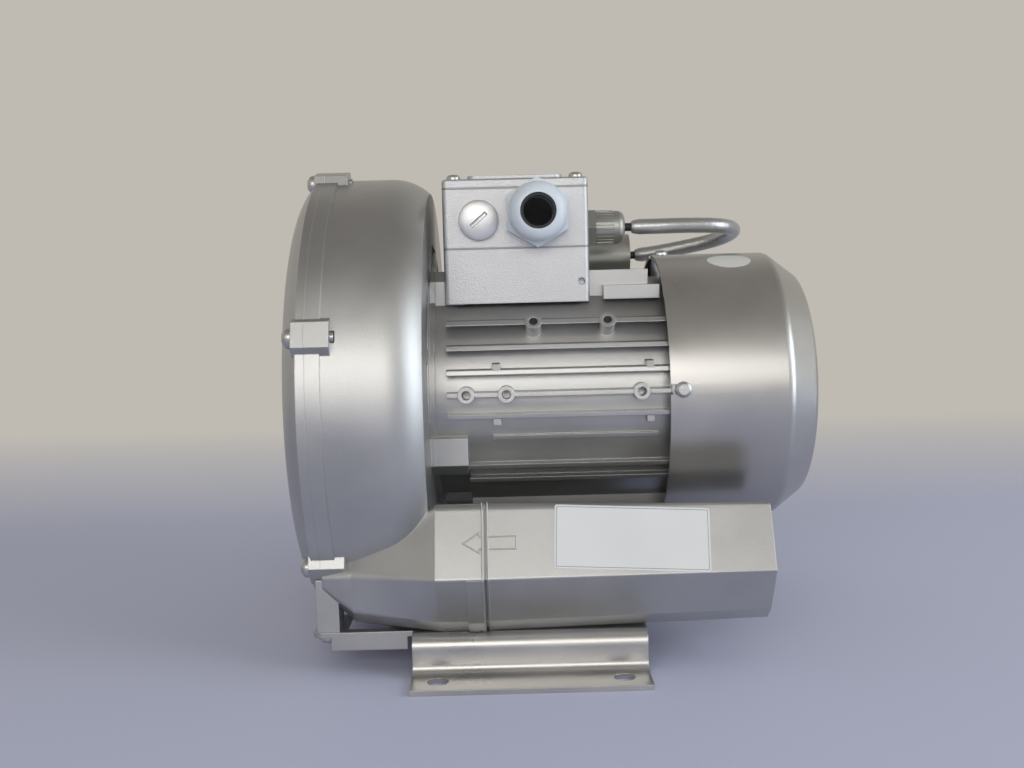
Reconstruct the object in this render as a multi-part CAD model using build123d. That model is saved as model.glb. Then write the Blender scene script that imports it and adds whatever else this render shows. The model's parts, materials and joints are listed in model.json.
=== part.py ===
"""Side channel blower, single stage, with built-on motor, silencers and foot plate.

Millimetres, +Z up. The shaft runs along X: the side channel cover faces -X and the fan
cowl faces +X. The origin is the centre of the foot hole pattern, on the base plane.
"""
from build123d import *
from math import asin, cos, degrees, radians, sin, sqrt, tan
import os

os.makedirs("parts", exist_ok=True)

# ---------------------------------------------------------------- clearances and fits
RUNNING_FIT = 0.05        # radial, shaft in a seal or a fixed bore
IMPELLER_GAP = 0.4        # axial and radial, impeller to its chamber
AIR_GAP = 0.5             # radial, rotor to stator
BALL_PLAY = 0.04          # radial, ball to raceway
HOLE_PLAY = 0.3           # radial, screw shank in a plain hole

# ---------------------------------------------------------------- foot plate
AXIS_HEIGHT = 121.4
FOOT_SPACING_X = 83.0
FOOT_SPACING_Y = 205.0
FOOT_HOLE = 9.5           # diameter
FOOT_LENGTH = 107.0
FOOT_WIDTH = 226.0
FOOT_WALL_Y = 92.0        # outside of the upright wall
WEB_TOP = 20.0
SHEET = 2.5
BEND = 4.0                # inside bend radius of the foot plate
ARM_FRONT = -99.8
ARM_EDGE_Y = 84.0
ARM_INNER_Y = 56.0
ARM_LIP = 6.0             # depth of the turned-down edge below the web
ARM_LIP_FRONT = -91.0
ARM_STRIP = 5.0           # width left beside the arm window
ARM_WINDOW = (-84.7, -64.5)
WEB_FRONT = -41.0         # front of the full-width web

# ---------------------------------------------------------------- blower casing and cover
JOINT_X = -94.0           # cover to casing
FLANGE_R = 110.2
FLANGE_THICK = 6.6
DRUM_R = 109.2
DRUM_ROUND_X = -62.5      # where the rear rounding starts
DRUM_ROUND_R = 26.0
DRUM_REAR_X = -44.2
CASING_WALL = 6.0
IMPELLER_R = 100.0
IMPELLER_BORE_R = 7.0
POCKET_R = 11.5           # half-height of the blade pockets and of both side channels
IMPELLER_WEB = 4.0        # wall left between the front and rear pockets
IMPELLER_X = -75.6        # middle plane of the impeller
BLADE_COUNT = 32
BLADE_THICK = 2.2
HUB_R = 17.0
HUB_DISC = 5.0
KEY_SIZE = 5.0
KEY_IN_SHAFT = 3.0        # depth of the key below the shaft surface
WASHER = 2.0
WASHER_R = 11.0
HUB_SCREW = 6.0
HUB_SCREW_HEAD = 4.0
HUB_SCREW_AF = 10.0
HUB_SCREW_LENGTH = 18.0
STRIPPER_ANGLE = 50.0     # sector closed between the outlet and inlet, at the bottom
COVER_FRONT_X = -107.0
COVER_CENTRE_X = -97.0    # inside face over the hub
COVER_WALL = 4.0
COVER_RIM = 4.0
COVER_RIB_COUNT = 8
COVER_RIB = 2.4
SPIGOT_PLAY = 0.15

EAR_COUNT = 6
EAR_PHASE = 19.0          # first ear above the horizontal, on the -Y side
EAR_R = 113.4
EAR_TOP = 11.4
EAR_BASE = 20.4
EAR_FRONT = 5.4           # thickness on the cover
EAR_REAR = 11.0           # thickness on the casing
EAR_SCREW_R = 108.3       # bolt circle
EAR_SCREW = 5.0           # thread diameter
EAR_SCREW_TIP = 1.6       # thread beyond the ear
EAR_HEAD_R = 4.4
EAR_HEAD = 4.1            # head height

LEG_X = (-97.3, -87.0)
LEG_INNER_Y = 68.0
LEG_SCREW = 6.0
LEG_SCREW_X = -93.2

# ---------------------------------------------------------------- ducts and silencers
SEAM_X = -19.5            # casing duct to silencer
SEAL_THICK = 1.0
SEAL_INSET = 0.6
SILENCER_END = 109.0
SILENCER_WALL = 4.0
SILENCER_DRAFT = 1.2      # degrees
DUCT_SECTION = ((107.5, 49.5), (94.5, 27.0), (86.0, WEB_TOP), (54.0, WEB_TOP),
                (45.0, 29.0), (45.0, 58.0), (62.0, 72.0), (92.5, 80.5))
BOWL_SECTION = ((90.0, 48.5), (88.0, 31.0), (80.0, 23.5), (54.0, 22.0),
                (45.0, 29.0), (45.0, 50.0), (60.0, 56.0), (83.0, 56.0))
NOSE_SECTION = ((86.0, 46.5), (85.0, 41.5), (80.0, 37.5), (54.0, 34.0),
                (45.0, 38.0), (45.0, 48.0), (60.0, 52.0), (80.0, 52.0))
DUCT_FLARE_X = -41.0      # forward of this the duct draws in towards the drum
BOWL_X = -80.0
DUCT_TOP_EDGE = 4.0       # rounding of the upper outer corner
DUCT_EDGE = 1.5           # rounding of the two lower corners
BOWL_EDGE = 5.0
NOSE_EDGE = 2.0
COLLAR = 1.0              # height of the collar at the seam
COLLAR_X = -27.5
PORT_Y = 76.0
PORT_Z = 49.0
PORT_THREAD = 41.9        # G1 1/4 major diameter
PORT_DEPTH = 18.0
PORT_BOSS = 26.5          # radius
SILENCER_SCREWS_X = (-2.0, 42.0)
SILENCER_SCREW_Y = 70.0
SILENCER_SCREW = 6.0
SCREW_PILLAR_R = 6.0
SCREW_PILLAR = 12.0       # height of the tapped pillars above the foot web
THREAD_GRIP = 9.0
BASE_HEAD_R = 4.9
BASE_HEAD = 3.8           # head height
LINER_BORE_R = 17.0

# ---------------------------------------------------------------- motor
MOTOR_FACE = -41.6        # motor frame to casing
FRAME_REAR = 86.0
FRAME_ROOT_R = 57.0
FRAME_BORE_R = 50.5
FIN_R = 64.0
FIN_THICK = 2.2
FIN_START = -36.0
FIN_HEIGHTS = (37.3, 25.9, 14.6, 4.2, -6.0)
LOW_FIN_START = -26.5
LOW_FIN_HEIGHTS = (-31.0, -38.2)
BOLT_ACCESS = (-67.0, 72.0)    # recess below the near lug: middle and spread, degrees
BOLT_ACCESS_R = 53.0
RIDGE_HEIGHT = -17.0
RIDGE_SPAN = (-15.0, 64.0)
RIDGE_R = 59.5
BOTTOM_FIN_PITCH = 10.5
BOTTOM_FIN_COUNT = 5
FIN_BOSS_R = 4.0
FIN_BOSS_HOLE = 4.2
FIN_BOSSES = ((5.7, FIN_HEIGHTS[0]), (41.0, FIN_HEIGHTS[0]), (-26.8, FIN_HEIGHTS[3]),
              (-7.9, FIN_HEIGHTS[3]), (55.6, FIN_HEIGHTS[3]))
FIN_LUG = 3.6
FIN_LUGS = ((-12.5, 16.6), (59.8, 16.6), (-12.5, -8.6), (59.8, -8.6))
LUG_OFFSET = 25.2         # motor lug, beside the axis plane
LUG_WIDTH = 18.0
LUG_REACH = 62.0
LUG_LENGTH = 15.0
LUG_CHAMFER = 5.0
LUG_ROOT = 8.0            # depth of the lug inside the frame bore radius
MOTOR_BOLT = 6.0
MOTOR_BOLT_R = 55.5       # reach of the bolt along the lug
TOP_PAD_Y = 30.0
TOP_PAD_Z = 182.4
TOP_PAD_END = 63.0
PAD_INSET = 1.0           # pad to the inside of the box wall
SIDE_PAD = (40.4, 67.5)
SIDE_PAD_Y = 39.6
SIDE_PAD_Z = (168.3, 175.0)

SHAFT_SEAT_R = 8.5        # at the seal and the front bearing
SHAFT_CORE_R = 11.0
SHAFT_REAR_R = 7.5
SHAFT_FAN_R = 6.0
FRONT_BEARING = (20.0, 12.0)   # outer radius, width
REAR_BEARING = (17.5, 11.0)
FRONT_BEARING_X = -46.5
REAR_BEARING_X = 84.0
BALL_COUNT = 7
PRELOAD = 1.2             # thickness of the spring washer
SEAL_R = 15.0
SEAL_WIDTH = 7.0
CORE_X = (-10.0, 56.0)
ROTOR_R = 30.0
END_RING = 8.0
WINDING_LENGTH = 16.0
SLOT_COUNT = 24

COWL_FRONT = 68.4
COWL_R = 67.8
COWL_SHEET = 1.5
COWL_TAPER_X = 125.4
COWL_REAR = 140.5
COWL_REAR_R = 56.3
COWL_BEND = 4.0           # inside bend radii
COWL_RIM_BEND = 3.0
COWL_SCREW_X = 74.2
COWL_SCREW_ANGLE = 4.2
COWL_SCREW = 4.0
COWL_BOSS_R = 5.0
GRILLE_SLOTS = 5
GRILLE_SLOT = 4.0
GRILLE_BAR = 4.6
GRILLE_SPOKES = 6
FAN_X = 102.0
FAN_WIDTH = 24.0
FAN_R = 57.0
FAN_BLADES = 10

# ---------------------------------------------------------------- terminal box
BOX_X = (-36.6, 33.7)
BOX_Y = 39.8
BOX_BOTTOM = 167.5
BOX_SPLIT = 193.6
BOX_TOP = 222.4
LID_THICK = 4.9
LID_RAISE = 1.6
BOX_WALL = 4.0
BOX_FLOOR = 3.6
BOX_GASKET = 0.8
BOX_CORNER = 2.5
GLAND_X, GLAND_Z = 9.0, 210.6
GLAND_THREAD = 22.5       # Pg 16
GLAND_AF = 29.0
GLAND_BORE = 14.8
GLAND_HEX = 7.0
GLAND_NUT = 15.0
PLUG_X, PLUG_Z = -19.2, 207.6
PLUG_R = 9.4
SIDE_GLAND_Y, SIDE_GLAND_Z = 8.0, 204.2
SIDE_GLAND_THREAD = 16.0
SIDE_GLAND_AF = 18.0
SIDE_GLAND_HEX = 6.6      # depth of the hexagon
SIDE_GLAND_NUT = 15.4     # depth of the cap nut
EARTH_HOLE = (29.8, 177.3)
EARTH_HOLE_R = 1.7
CABLE_HOLE_R = 9.0        # frame pad to box
LID_SCREW = 4.0
LID_SCREW_INSET = 5.6
LID_SCREW_GRIP = 10.0     # thread length in the base
LID_PILLAR_R = 4.5
PLUG_THREAD = 16.0
TERMINAL_COUNT = 3
TERMINAL_PITCH = 14.0
TERMINAL_X = (12.0, 30.0) # behind the box middle
TERMINAL_HEIGHT = 9.0
TERMINAL_WALL = 5.0       # partition height above the block

# ---------------------------------------------------------------- capacitor and its lead
CAP_Y, CAP_Z = 54.6, 190.0
CAP_R = 12.5
CAP_X = (-14.0, 62.6)
CLAMP_X = 12.0
CLAMP_WIDTH = 12.0
CLAMP_SHEET = 1.5
CLAMP_SCREW = 4.0
CLAMP_DROP = 7.0          # screw below the can
LEAD_R = 2.1
LEAD_INSIDE = 6.0         # lead standing inside the box
SLEEVE_R = 4.0
SLEEVE_STUB = 3.6         # bare lead between an outlet and the sleeve

SHAFT_LINE = Axis((0, 0, AXIS_HEIGHT), (1, 0, 0))
SHAFT_PLANE = Plane(origin=(0, 0, AXIS_HEIGHT), x_dir=(1, 0, 0), z_dir=(0, -1, 0))


# ================================================================ helpers
def save(name, *shapes):
    """Write one node: a single solid, or a group of separate ones."""
    solids = [solid for shape in shapes for solid in shape.solids()]
    node = solids[0] if len(solids) == 1 else Compound(children=solids)
    export_step(node, os.path.join("parts", name + ".step"))


def shaft_section(*outline):
    """Face above the shaft line from (x, radius) points."""
    return SHAFT_PLANE * make_face(Polyline(*outline, close=True))


def turned(*outline):
    """Revolve an outline of (x, radius) points round the shaft line."""
    return revolve(shaft_section(*outline), axis=SHAFT_LINE)


def turned_edges(edges):
    """Revolve a closed loop of (x, radius) edges round the shaft line."""
    return revolve(SHAFT_PLANE * make_face(edges), axis=SHAFT_LINE)


def rod(x0, x1, outer, inner=0.0, y=0.0, z=AXIS_HEIGHT):
    """Round bar or tube along X."""
    plane = Plane(origin=(x0, y, z), x_dir=(0, 1, 0), z_dir=(1, 0, 0))
    section = Circle(outer) - Circle(inner) if inner else Circle(outer)
    return extrude(plane * section, x1 - x0)


def upright(z0, z1, radius, x, y):
    """Round bar along Z."""
    return extrude(Pos(x, y, z0) * Circle(radius), z1 - z0)


def block(x, y, z):
    """Box from (low, high) pairs."""
    size = [pair[1] - pair[0] for pair in (x, y, z)]
    middle = [(pair[0] + pair[1]) / 2 for pair in (x, y, z)]
    return Pos(*middle) * Box(*size)


def about_shaft(shape, angle):
    """Turn a shape round the shaft line; positive lifts the -Y side."""
    return shape.rotate(SHAFT_LINE, -angle)


def section_yz(points, x):
    """Face in the YZ plane at x from (y, z) points."""
    plane = Plane(origin=(x, 0, 0), x_dir=(0, 1, 0), z_dir=(1, 0, 0))
    return plane * make_face(Polyline(*points, close=True))


def rounded(face, corners):
    """Planar face with corners rounded, from (vertex, radius) pairs."""
    for place, radius in corners:
        corner = face.vertices().sort_by_distance(place)[0]
        face = face.face().fillet_2d(radius, [corner])
    return face


def both_sides(shape):
    """The shape and its mirror image across the XZ plane."""
    return shape, mirror(shape, about=Plane.XZ)


def pan_screw(length, thread, head_r, head_h):
    """Pan head screw along +Z, with its head below z = 0."""
    head = Pos(0, 0, -head_h / 2) * Cylinder(head_r, head_h)
    head = chamfer(head.faces().sort_by(Axis.Z)[0].edges(), head_h * 0.45)
    shank = Pos(0, 0, length / 2) * Cylinder(thread / 2, length)
    return head + shank


def hexagon(across_flats, depth):
    """Hexagonal prism along +Z from z = 0."""
    return extrude(RegularPolygon(across_flats / sqrt(3), 6), depth)


# ================================================================ derived places
EAR_ANGLES = [EAR_PHASE + k * 360 / EAR_COUNT for k in range(EAR_COUNT)]
POCKET_CENTRE_R = IMPELLER_R - POCKET_R
IMPELLER_HALF = POCKET_R + IMPELLER_WEB / 2
IMPELLER_FRONT = IMPELLER_X - IMPELLER_HALF
IMPELLER_REAR = IMPELLER_X + IMPELLER_HALF
CHAMBER_R = IMPELLER_R + IMPELLER_GAP
CHAMBER_REAR = IMPELLER_REAR + IMPELLER_GAP
COVER_LAND = IMPELLER_FRONT - IMPELLER_GAP
KEY_X = (IMPELLER_FRONT + 4, IMPELLER_REAR - 3)
EAR_FRONT_X = JOINT_X - EAR_FRONT
EAR_REAR_X = JOINT_X + EAR_REAR
BOX_MID_X = sum(BOX_X) / 2
SIDE_GLAND_END = BOX_X[1] + SIDE_GLAND_HEX + SIDE_GLAND_NUT
LEAD_START = BOX_X[1] - BOX_WALL - LEAD_INSIDE


def ring_sector(x0, x1, r_in, r_out, middle, spread):
    """Sector of a ring along X; middle and spread in degrees, measured like the ears."""
    wedge_r = r_out / cos(radians(spread / 2)) + 1
    corners = [(0, AXIS_HEIGHT)]
    for angle in (middle - spread / 2, middle, middle + spread / 2):
        corners.append((-wedge_r * cos(radians(angle)), AXIS_HEIGHT + wedge_r * sin(radians(angle))))
    wedge = extrude(section_yz(corners, x0), x1 - x0)
    return wedge & rod(x0, x1, r_out, r_in)


# ================================================================ side channel
def channel(x):
    """Ring of round section, interrupted by the stripper at the bottom."""
    ring = turned_edges([CenterArc((x, POCKET_CENTRE_R), POCKET_R, 0, 360)])
    bottom = ring_sector(x - 2 * POCKET_R, x + 2 * POCKET_R, POCKET_CENTRE_R - 2 * POCKET_R,
                         POCKET_CENTRE_R + 2 * POCKET_R, -90, STRIPPER_ANGLE)
    return ring - bottom


def ear(x0, x1):
    """Tapered screw lug on the rim, at the first ear angle."""
    outline = [(-FLANGE_R + 6, -EAR_BASE / 2 - 1), (-EAR_R, -EAR_TOP / 2),
               (-EAR_R, EAR_TOP / 2), (-FLANGE_R + 6, EAR_BASE / 2 + 1)]
    lug = extrude(section_yz([(y, AXIS_HEIGHT + z) for y, z in outline], x0), x1 - x0)
    return lug


def ear_shanks(x0, x1, radius):
    """Round bars at every ear."""
    return [about_shaft(rod(x0, x1, radius, y=-EAR_SCREW_R), angle) for angle in EAR_ANGLES]


def duct_face(x, section=DUCT_SECTION):
    """Sharp-cornered duct section on the -Y side."""
    return section_yz([(-y, z) for y, z in section], x)


def duct_outside(x, section=DUCT_SECTION, edge=DUCT_EDGE, top_edge=DUCT_TOP_EDGE):
    """Duct section with its outer corners rounded."""
    corners = [((x, -y, z), edge) for y, z in section[:3]]
    top_y, top_z = section[-1]
    return rounded(duct_face(x, section), corners + [((x, -top_y, top_z), top_edge)])


def duct():
    """Port duct on the -Y side: nose at the flange, bowl, straight run and collar."""
    full = duct_outside(DUCT_FLARE_X)
    bowl = duct_outside(BOWL_X, BOWL_SECTION, BOWL_EDGE)
    nose = duct_outside(JOINT_X, NOSE_SECTION, NOSE_EDGE, NOSE_EDGE)
    solid = extrude(full, SEAM_X - DUCT_FLARE_X, dir=(1, 0, 0))
    solid += loft([bowl, full], ruled=True)
    solid += loft([nose, bowl], ruled=True)
    collar = extrude(offset(duct_face(COLLAR_X), COLLAR, kind=Kind.INTERSECTION),
                     SEAM_X - COLLAR_X, dir=(1, 0, 0))
    ridge_y, ridge_z = DUCT_SECTION[0]
    return solid + (collar & block((COLLAR_X, SEAM_X), (-ridge_y - COLLAR, -PORT_Y), (WEB_TOP, ridge_z)))


def duct_hollow():
    """Inside of the duct, and its window into the rear side channel."""
    inner = offset(duct_face(DRUM_REAR_X + CASING_WALL / 2), -CASING_WALL,
                   kind=Kind.INTERSECTION)
    hollow = extrude(inner, SEAM_X - DRUM_REAR_X)
    window = block((CHAMBER_REAR + POCKET_R / 2, DRUM_REAR_X + CASING_WALL),
                   (-PORT_Y - 9, -PORT_Y + 15), (PORT_Z - 2, PORT_Z + 17))
    return hollow + window


def motor_lug(x0, x1, play=0.0):
    """Square lug that joins the motor to the casing, lower -Y position."""
    low = AXIS_HEIGHT - LUG_OFFSET - LUG_WIDTH / 2 - play
    high = AXIS_HEIGHT - LUG_OFFSET + LUG_WIDTH / 2 + play
    reach, root = LUG_REACH + play, FRAME_BORE_R - LUG_ROOT
    points = [(-reach, low + LUG_CHAMFER), (-reach + LUG_CHAMFER, low), (-root, low),
              (-root, high), (-reach, high)]
    return extrude(section_yz(points, x0), x1 - x0)


def motor_bolt_bars(x0, x1, radius):
    """Round bars at the four motor bolts."""
    bar = rod(x0, x1, radius, y=-MOTOR_BOLT_R, z=AXIS_HEIGHT - LUG_OFFSET)
    return [about_shaft(bar, quarter * 90) for quarter in range(4)]


def blower_casing():
    """Drum with the rear side channel, ears, legs, motor seat and the two port ducts."""
    rear_r = DRUM_R - DRUM_ROUND_R + sqrt(DRUM_ROUND_R**2 - (DRUM_REAR_X - DRUM_ROUND_X)**2)
    band_x = JOINT_X + FLANGE_THICK
    seat_r = FRAME_ROOT_R + 1
    drum = turned_edges([
        Polyline((DRUM_REAR_X, rear_r), (DRUM_REAR_X, seat_r), (MOTOR_FACE, seat_r),
                 (MOTOR_FACE, 0), (JOINT_X, 0), (JOINT_X, FLANGE_R), (band_x, FLANGE_R),
                 (band_x, DRUM_R), (DRUM_ROUND_X, DRUM_R)),
        RadiusArc((DRUM_ROUND_X, DRUM_R), (DRUM_REAR_X, rear_r), DRUM_ROUND_R)])
    for angle in EAR_ANGLES:
        drum += about_shaft(ear(JOINT_X, EAR_REAR_X), angle)
    leg = block(LEG_X, (-ARM_EDGE_Y, -LEG_INNER_Y),
                (WEB_TOP, AXIS_HEIGHT - sqrt(FLANGE_R**2 - ARM_EDGE_Y**2) + 2))
    leg -= rod(LEG_X[0], JOINT_X, EAR_R + HOLE_PLAY)
    drum += both_sides(leg)
    drum += both_sides(duct())
    for quarter in range(4):
        drum += about_shaft(motor_lug(DRUM_REAR_X - CASING_WALL, MOTOR_FACE), quarter * 90)
    # rear recess between the rim and the motor seat, with ribs left standing
    recess_x = DRUM_REAR_X - CASING_WALL
    recess_in = LUG_REACH + 3
    for middle in range(5, 360, 30):
        if not 195 < middle < 345:
            drum -= ring_sector(recess_x, DRUM_REAR_X, recess_in, POCKET_CENTRE_R - POCKET_R - 1,
                                middle, 24)
    # inside
    drum -= rod(JOINT_X, CHAMBER_REAR, CHAMBER_R)
    drum -= channel(CHAMBER_REAR)
    drum -= both_sides(duct_hollow())
    seal_rear = CHAMBER_REAR + SEAL_WIDTH
    drum -= rod(CHAMBER_REAR, seal_rear, SEAL_R)
    drum -= rod(seal_rear, MOTOR_FACE, SHAFT_SEAT_R + 1.5)
    drum -= rod(FRONT_BEARING_X - 1.0, MOTOR_FACE, FRAME_BORE_R)
    drum -= ear_shanks(JOINT_X, EAR_REAR_X, EAR_SCREW / 2)
    drum -= ear_shanks(EAR_REAR_X, EAR_REAR_X + EAR_SCREW_TIP + HOLE_PLAY,
                       EAR_SCREW / 2 + HOLE_PLAY)
    drum -= motor_bolt_bars(CHAMBER_REAR, CHAMBER_REAR + MOTOR_BOLT, MOTOR_BOLT * 0.85)
    drum -= motor_bolt_bars(CHAMBER_REAR, MOTOR_FACE, MOTOR_BOLT / 2 + HOLE_PLAY)
    drum -= leg_screw_bars(WEB_TOP, WEB_TOP + SCREW_PILLAR, LEG_SCREW / 2)
    return drum


def leg_screw_bars(z0, z1, radius):
    """Round bars at the two leg screws."""
    y = (ARM_EDGE_Y + LEG_INNER_Y) / 2
    return [upright(z0, z1, radius, LEG_SCREW_X, side * y) for side in (-1, 1)]


def side_channel_cover():
    """Front cover with the front side channel, a spigot and stiffening ribs."""
    rim_front = JOINT_X - COVER_RIM
    bulge_in = POCKET_CENTRE_R - POCKET_R - COVER_WALL
    inner_x = COVER_CENTRE_X
    front_x = inner_x - COVER_WALL
    spigot_r = CHAMBER_R - SPIGOT_PLAY
    shell = turned_edges([
        Polyline((front_x, bulge_in - 1), (front_x, 0), (inner_x, 0), (inner_x, bulge_in),
                 (COVER_LAND, bulge_in + 2), (COVER_LAND, spigot_r), (JOINT_X, spigot_r),
                 (JOINT_X, FLANGE_R), (rim_front, FLANGE_R), (rim_front - 1, FLANGE_R - 1.5)),
        ThreePointArc((rim_front - 1, FLANGE_R - 1.5),
                      (COVER_FRONT_X + 2.6, POCKET_CENTRE_R + 12.5),
                      (COVER_FRONT_X, POCKET_CENTRE_R)),
        ThreePointArc((COVER_FRONT_X, POCKET_CENTRE_R),
                      (COVER_FRONT_X + 2.2, POCKET_CENTRE_R - 10),
                      (front_x, bulge_in - 1))])
    boss = rod(COVER_FRONT_X + 2, inner_x, HUB_R)
    shell += boss
    for k in range(COVER_RIB_COUNT):
        rib = block((front_x - 3, front_x + 1), (-COVER_RIB / 2, COVER_RIB / 2),
                    (AXIS_HEIGHT + HUB_R - 1, AXIS_HEIGHT + bulge_in + 3))
        shell += rib.rotate(SHAFT_LINE, k * 360 / COVER_RIB_COUNT)
    for angle in EAR_ANGLES:
        lug = about_shaft(ear(EAR_FRONT_X, JOINT_X), angle)
        shell += lug - rod(EAR_FRONT_X, JOINT_X, FLANGE_R - 5)
    shell -= channel(COVER_LAND)
    shell -= ear_shanks(EAR_FRONT_X, JOINT_X, EAR_SCREW / 2 + HOLE_PLAY)
    shell -= ear_shanks(COVER_FRONT_X, EAR_FRONT_X, EAR_HEAD_R + HOLE_PLAY)
    return shell


def cover_screws():
    """Screws through the cover ears into the casing ears."""
    length = EAR_REAR_X + EAR_SCREW_TIP - EAR_FRONT_X
    place = Plane(origin=(EAR_FRONT_X, -EAR_SCREW_R, AXIS_HEIGHT), z_dir=(1, 0, 0))
    screw = place * pan_screw(length, EAR_SCREW, EAR_HEAD_R, EAR_HEAD)
    return [about_shaft(screw, angle) for angle in EAR_ANGLES]


# ================================================================ impeller
def impeller():
    """Disc with a ring of blade pockets on both faces and a keyed hub."""
    inner_r = POCKET_CENTRE_R - POCKET_R
    half_disc = HUB_DISC / 2
    wheel = turned((IMPELLER_FRONT, IMPELLER_BORE_R), (IMPELLER_FRONT, HUB_R),
                   (IMPELLER_X - half_disc, HUB_R + 2), (IMPELLER_X - half_disc, inner_r - 5),
                   (IMPELLER_FRONT, inner_r - 3), (IMPELLER_FRONT, IMPELLER_R),
                   (IMPELLER_REAR, IMPELLER_R), (IMPELLER_REAR, inner_r - 3),
                   (IMPELLER_X + half_disc, inner_r - 5), (IMPELLER_X + half_disc, HUB_R + 2),
                   (IMPELLER_REAR, HUB_R), (IMPELLER_REAR, IMPELLER_BORE_R))
    for face_x, way in ((IMPELLER_FRONT, 1), (IMPELLER_REAR, -1)):
        floor_x = face_x + way * POCKET_R
        diagonal = POCKET_R * sqrt(0.5)
        groove = turned_edges([
            ThreePointArc((face_x, inner_r), (face_x + way * diagonal, POCKET_CENTRE_R - diagonal),
                          (floor_x, POCKET_CENTRE_R)),
            Polyline((floor_x, POCKET_CENTRE_R), (floor_x, IMPELLER_R + 1), (face_x, IMPELLER_R + 1),
                     (face_x, inner_r))])
        blade = block(sorted((face_x - way, floor_x + way)), (-BLADE_THICK / 2, BLADE_THICK / 2),
                      (AXIS_HEIGHT + inner_r - 1, AXIS_HEIGHT + IMPELLER_R + 2))
        blades = [blade.rotate(SHAFT_LINE, k * 360 / BLADE_COUNT) for k in range(BLADE_COUNT)]
        wheel -= groove - blades
    wheel -= key_slot(IMPELLER_FRONT, IMPELLER_REAR)
    return wheel


def key_slot(x0, x1):
    """Parallel key shape over the impeller seat."""
    top = AXIS_HEIGHT + IMPELLER_BORE_R
    return block((x0, x1), (-KEY_SIZE / 2, KEY_SIZE / 2),
                 (top - KEY_IN_SHAFT, top - KEY_IN_SHAFT + KEY_SIZE))


def impeller_screw():
    """Hexagon screw into the shaft end."""
    face = IMPELLER_FRONT - WASHER
    place = Plane(origin=(face - HUB_SCREW_HEAD, 0, AXIS_HEIGHT), z_dir=(1, 0, 0))
    shank = rod(face, face + HUB_SCREW_LENGTH, HUB_SCREW / 2)
    return place * hexagon(HUB_SCREW_AF, HUB_SCREW_HEAD) + shank


# ================================================================ rotor group
def motor_shaft():
    """Stepped shaft from the impeller seat to the fan seat."""
    seal_x = IMPELLER_REAR
    front_end = FRONT_BEARING_X + FRONT_BEARING[1]
    rear_start = REAR_BEARING_X
    rear_end = rear_start + REAR_BEARING[1]
    shaft = turned((IMPELLER_FRONT + 1, 0), (IMPELLER_FRONT + 1, IMPELLER_BORE_R),
                   (seal_x, IMPELLER_BORE_R), (seal_x, SHAFT_SEAT_R),
                   (front_end, SHAFT_SEAT_R), (front_end, SHAFT_CORE_R - 1),
                   (CORE_X[0] - END_RING, SHAFT_CORE_R - 1), (CORE_X[0] - END_RING, SHAFT_CORE_R),
                   (CORE_X[1] + END_RING, SHAFT_CORE_R), (CORE_X[1] + END_RING, SHAFT_CORE_R - 1),
                   (rear_start, SHAFT_CORE_R - 1), (rear_start, SHAFT_REAR_R),
                   (rear_end + 4, SHAFT_REAR_R), (rear_end + 4, SHAFT_FAN_R),
                   (FAN_X + FAN_WIDTH - 2, SHAFT_FAN_R), (FAN_X + FAN_WIDTH - 2, 0))
    shaft -= rod(IMPELLER_FRONT, IMPELLER_FRONT + HUB_SCREW_LENGTH, HUB_SCREW / 2)
    return shaft - key_slot(*KEY_X)


def rotor_core():
    """Lamination stack with cast end rings and stub fan blades."""
    start, end = CORE_X
    core = turned((start - END_RING, SHAFT_CORE_R + 8), (start - END_RING, ROTOR_R - 1.5),
                  (start, ROTOR_R - 1.5), (start, ROTOR_R), (end, ROTOR_R), (end, ROTOR_R - 1.5),
                  (end + END_RING, ROTOR_R - 1.5), (end + END_RING, SHAFT_CORE_R + 8),
                  (end, SHAFT_CORE_R + 8), (end, SHAFT_CORE_R), (start, SHAFT_CORE_R),
                  (start, SHAFT_CORE_R + 8))
    for k in range(8):
        for x in (start - END_RING - 4, end + END_RING):
            stub = block((x, x + 4), (-1, 1), (AXIS_HEIGHT + 20, AXIS_HEIGHT + ROTOR_R - 2))
            core += stub.rotate(SHAFT_LINE, k * 45)
    return core


def stator_core():
    """Slotted lamination stack pressed in the frame."""
    stack = rod(*CORE_X, FRAME_BORE_R, ROTOR_R + AIR_GAP)
    slot_r = ROTOR_R + AIR_GAP + 2
    slot = block(CORE_X, (-2.2, 2.2), (AXIS_HEIGHT + slot_r, AXIS_HEIGHT + slot_r + 10))
    stack -= [slot.rotate(SHAFT_LINE, k * 360 / SLOT_COUNT) for k in range(SLOT_COUNT)]
    return stack


def stator_windings():
    """Front and rear winding heads."""
    heads = []
    for start, way in ((CORE_X[0], -1), (CORE_X[1], 1)):
        tip = start + way * WINDING_LENGTH
        inner, outer = ROTOR_R + AIR_GAP + 2, FRAME_BORE_R - 5
        heads.append(turned((start, inner), (start, outer), (tip - way * 4, outer),
                            (tip, outer - 4), (tip, inner + 3), (tip - way * 3, inner)))
    return heads


def bearing(x, outer_r, width, bore_r):
    """Outer ring, inner ring and the ball set with its cage."""
    mid_x = x + width / 2
    pitch_r = (outer_r + bore_r) / 2
    ball_r = (outer_r - bore_r) * 0.26
    groove = turned_edges([CenterArc((mid_x, pitch_r), ball_r + BALL_PLAY, 0, 360)])
    outer = rod(x, x + width, outer_r, pitch_r + ball_r * 0.55) - groove
    inner = rod(x, x + width, pitch_r - ball_r * 0.55, bore_r) - groove
    cage = rod(mid_x - ball_r * 0.8, mid_x + ball_r * 0.8, pitch_r + ball_r * 0.3,
               pitch_r - ball_r * 0.3)
    balls = []
    for k in range(BALL_COUNT):
        angle = radians(k * 360 / BALL_COUNT)
        balls.append(Pos(mid_x, pitch_r * sin(angle), AXIS_HEIGHT + pitch_r * cos(angle))
                     * Sphere(ball_r))
    return outer, inner, cage + balls


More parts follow.
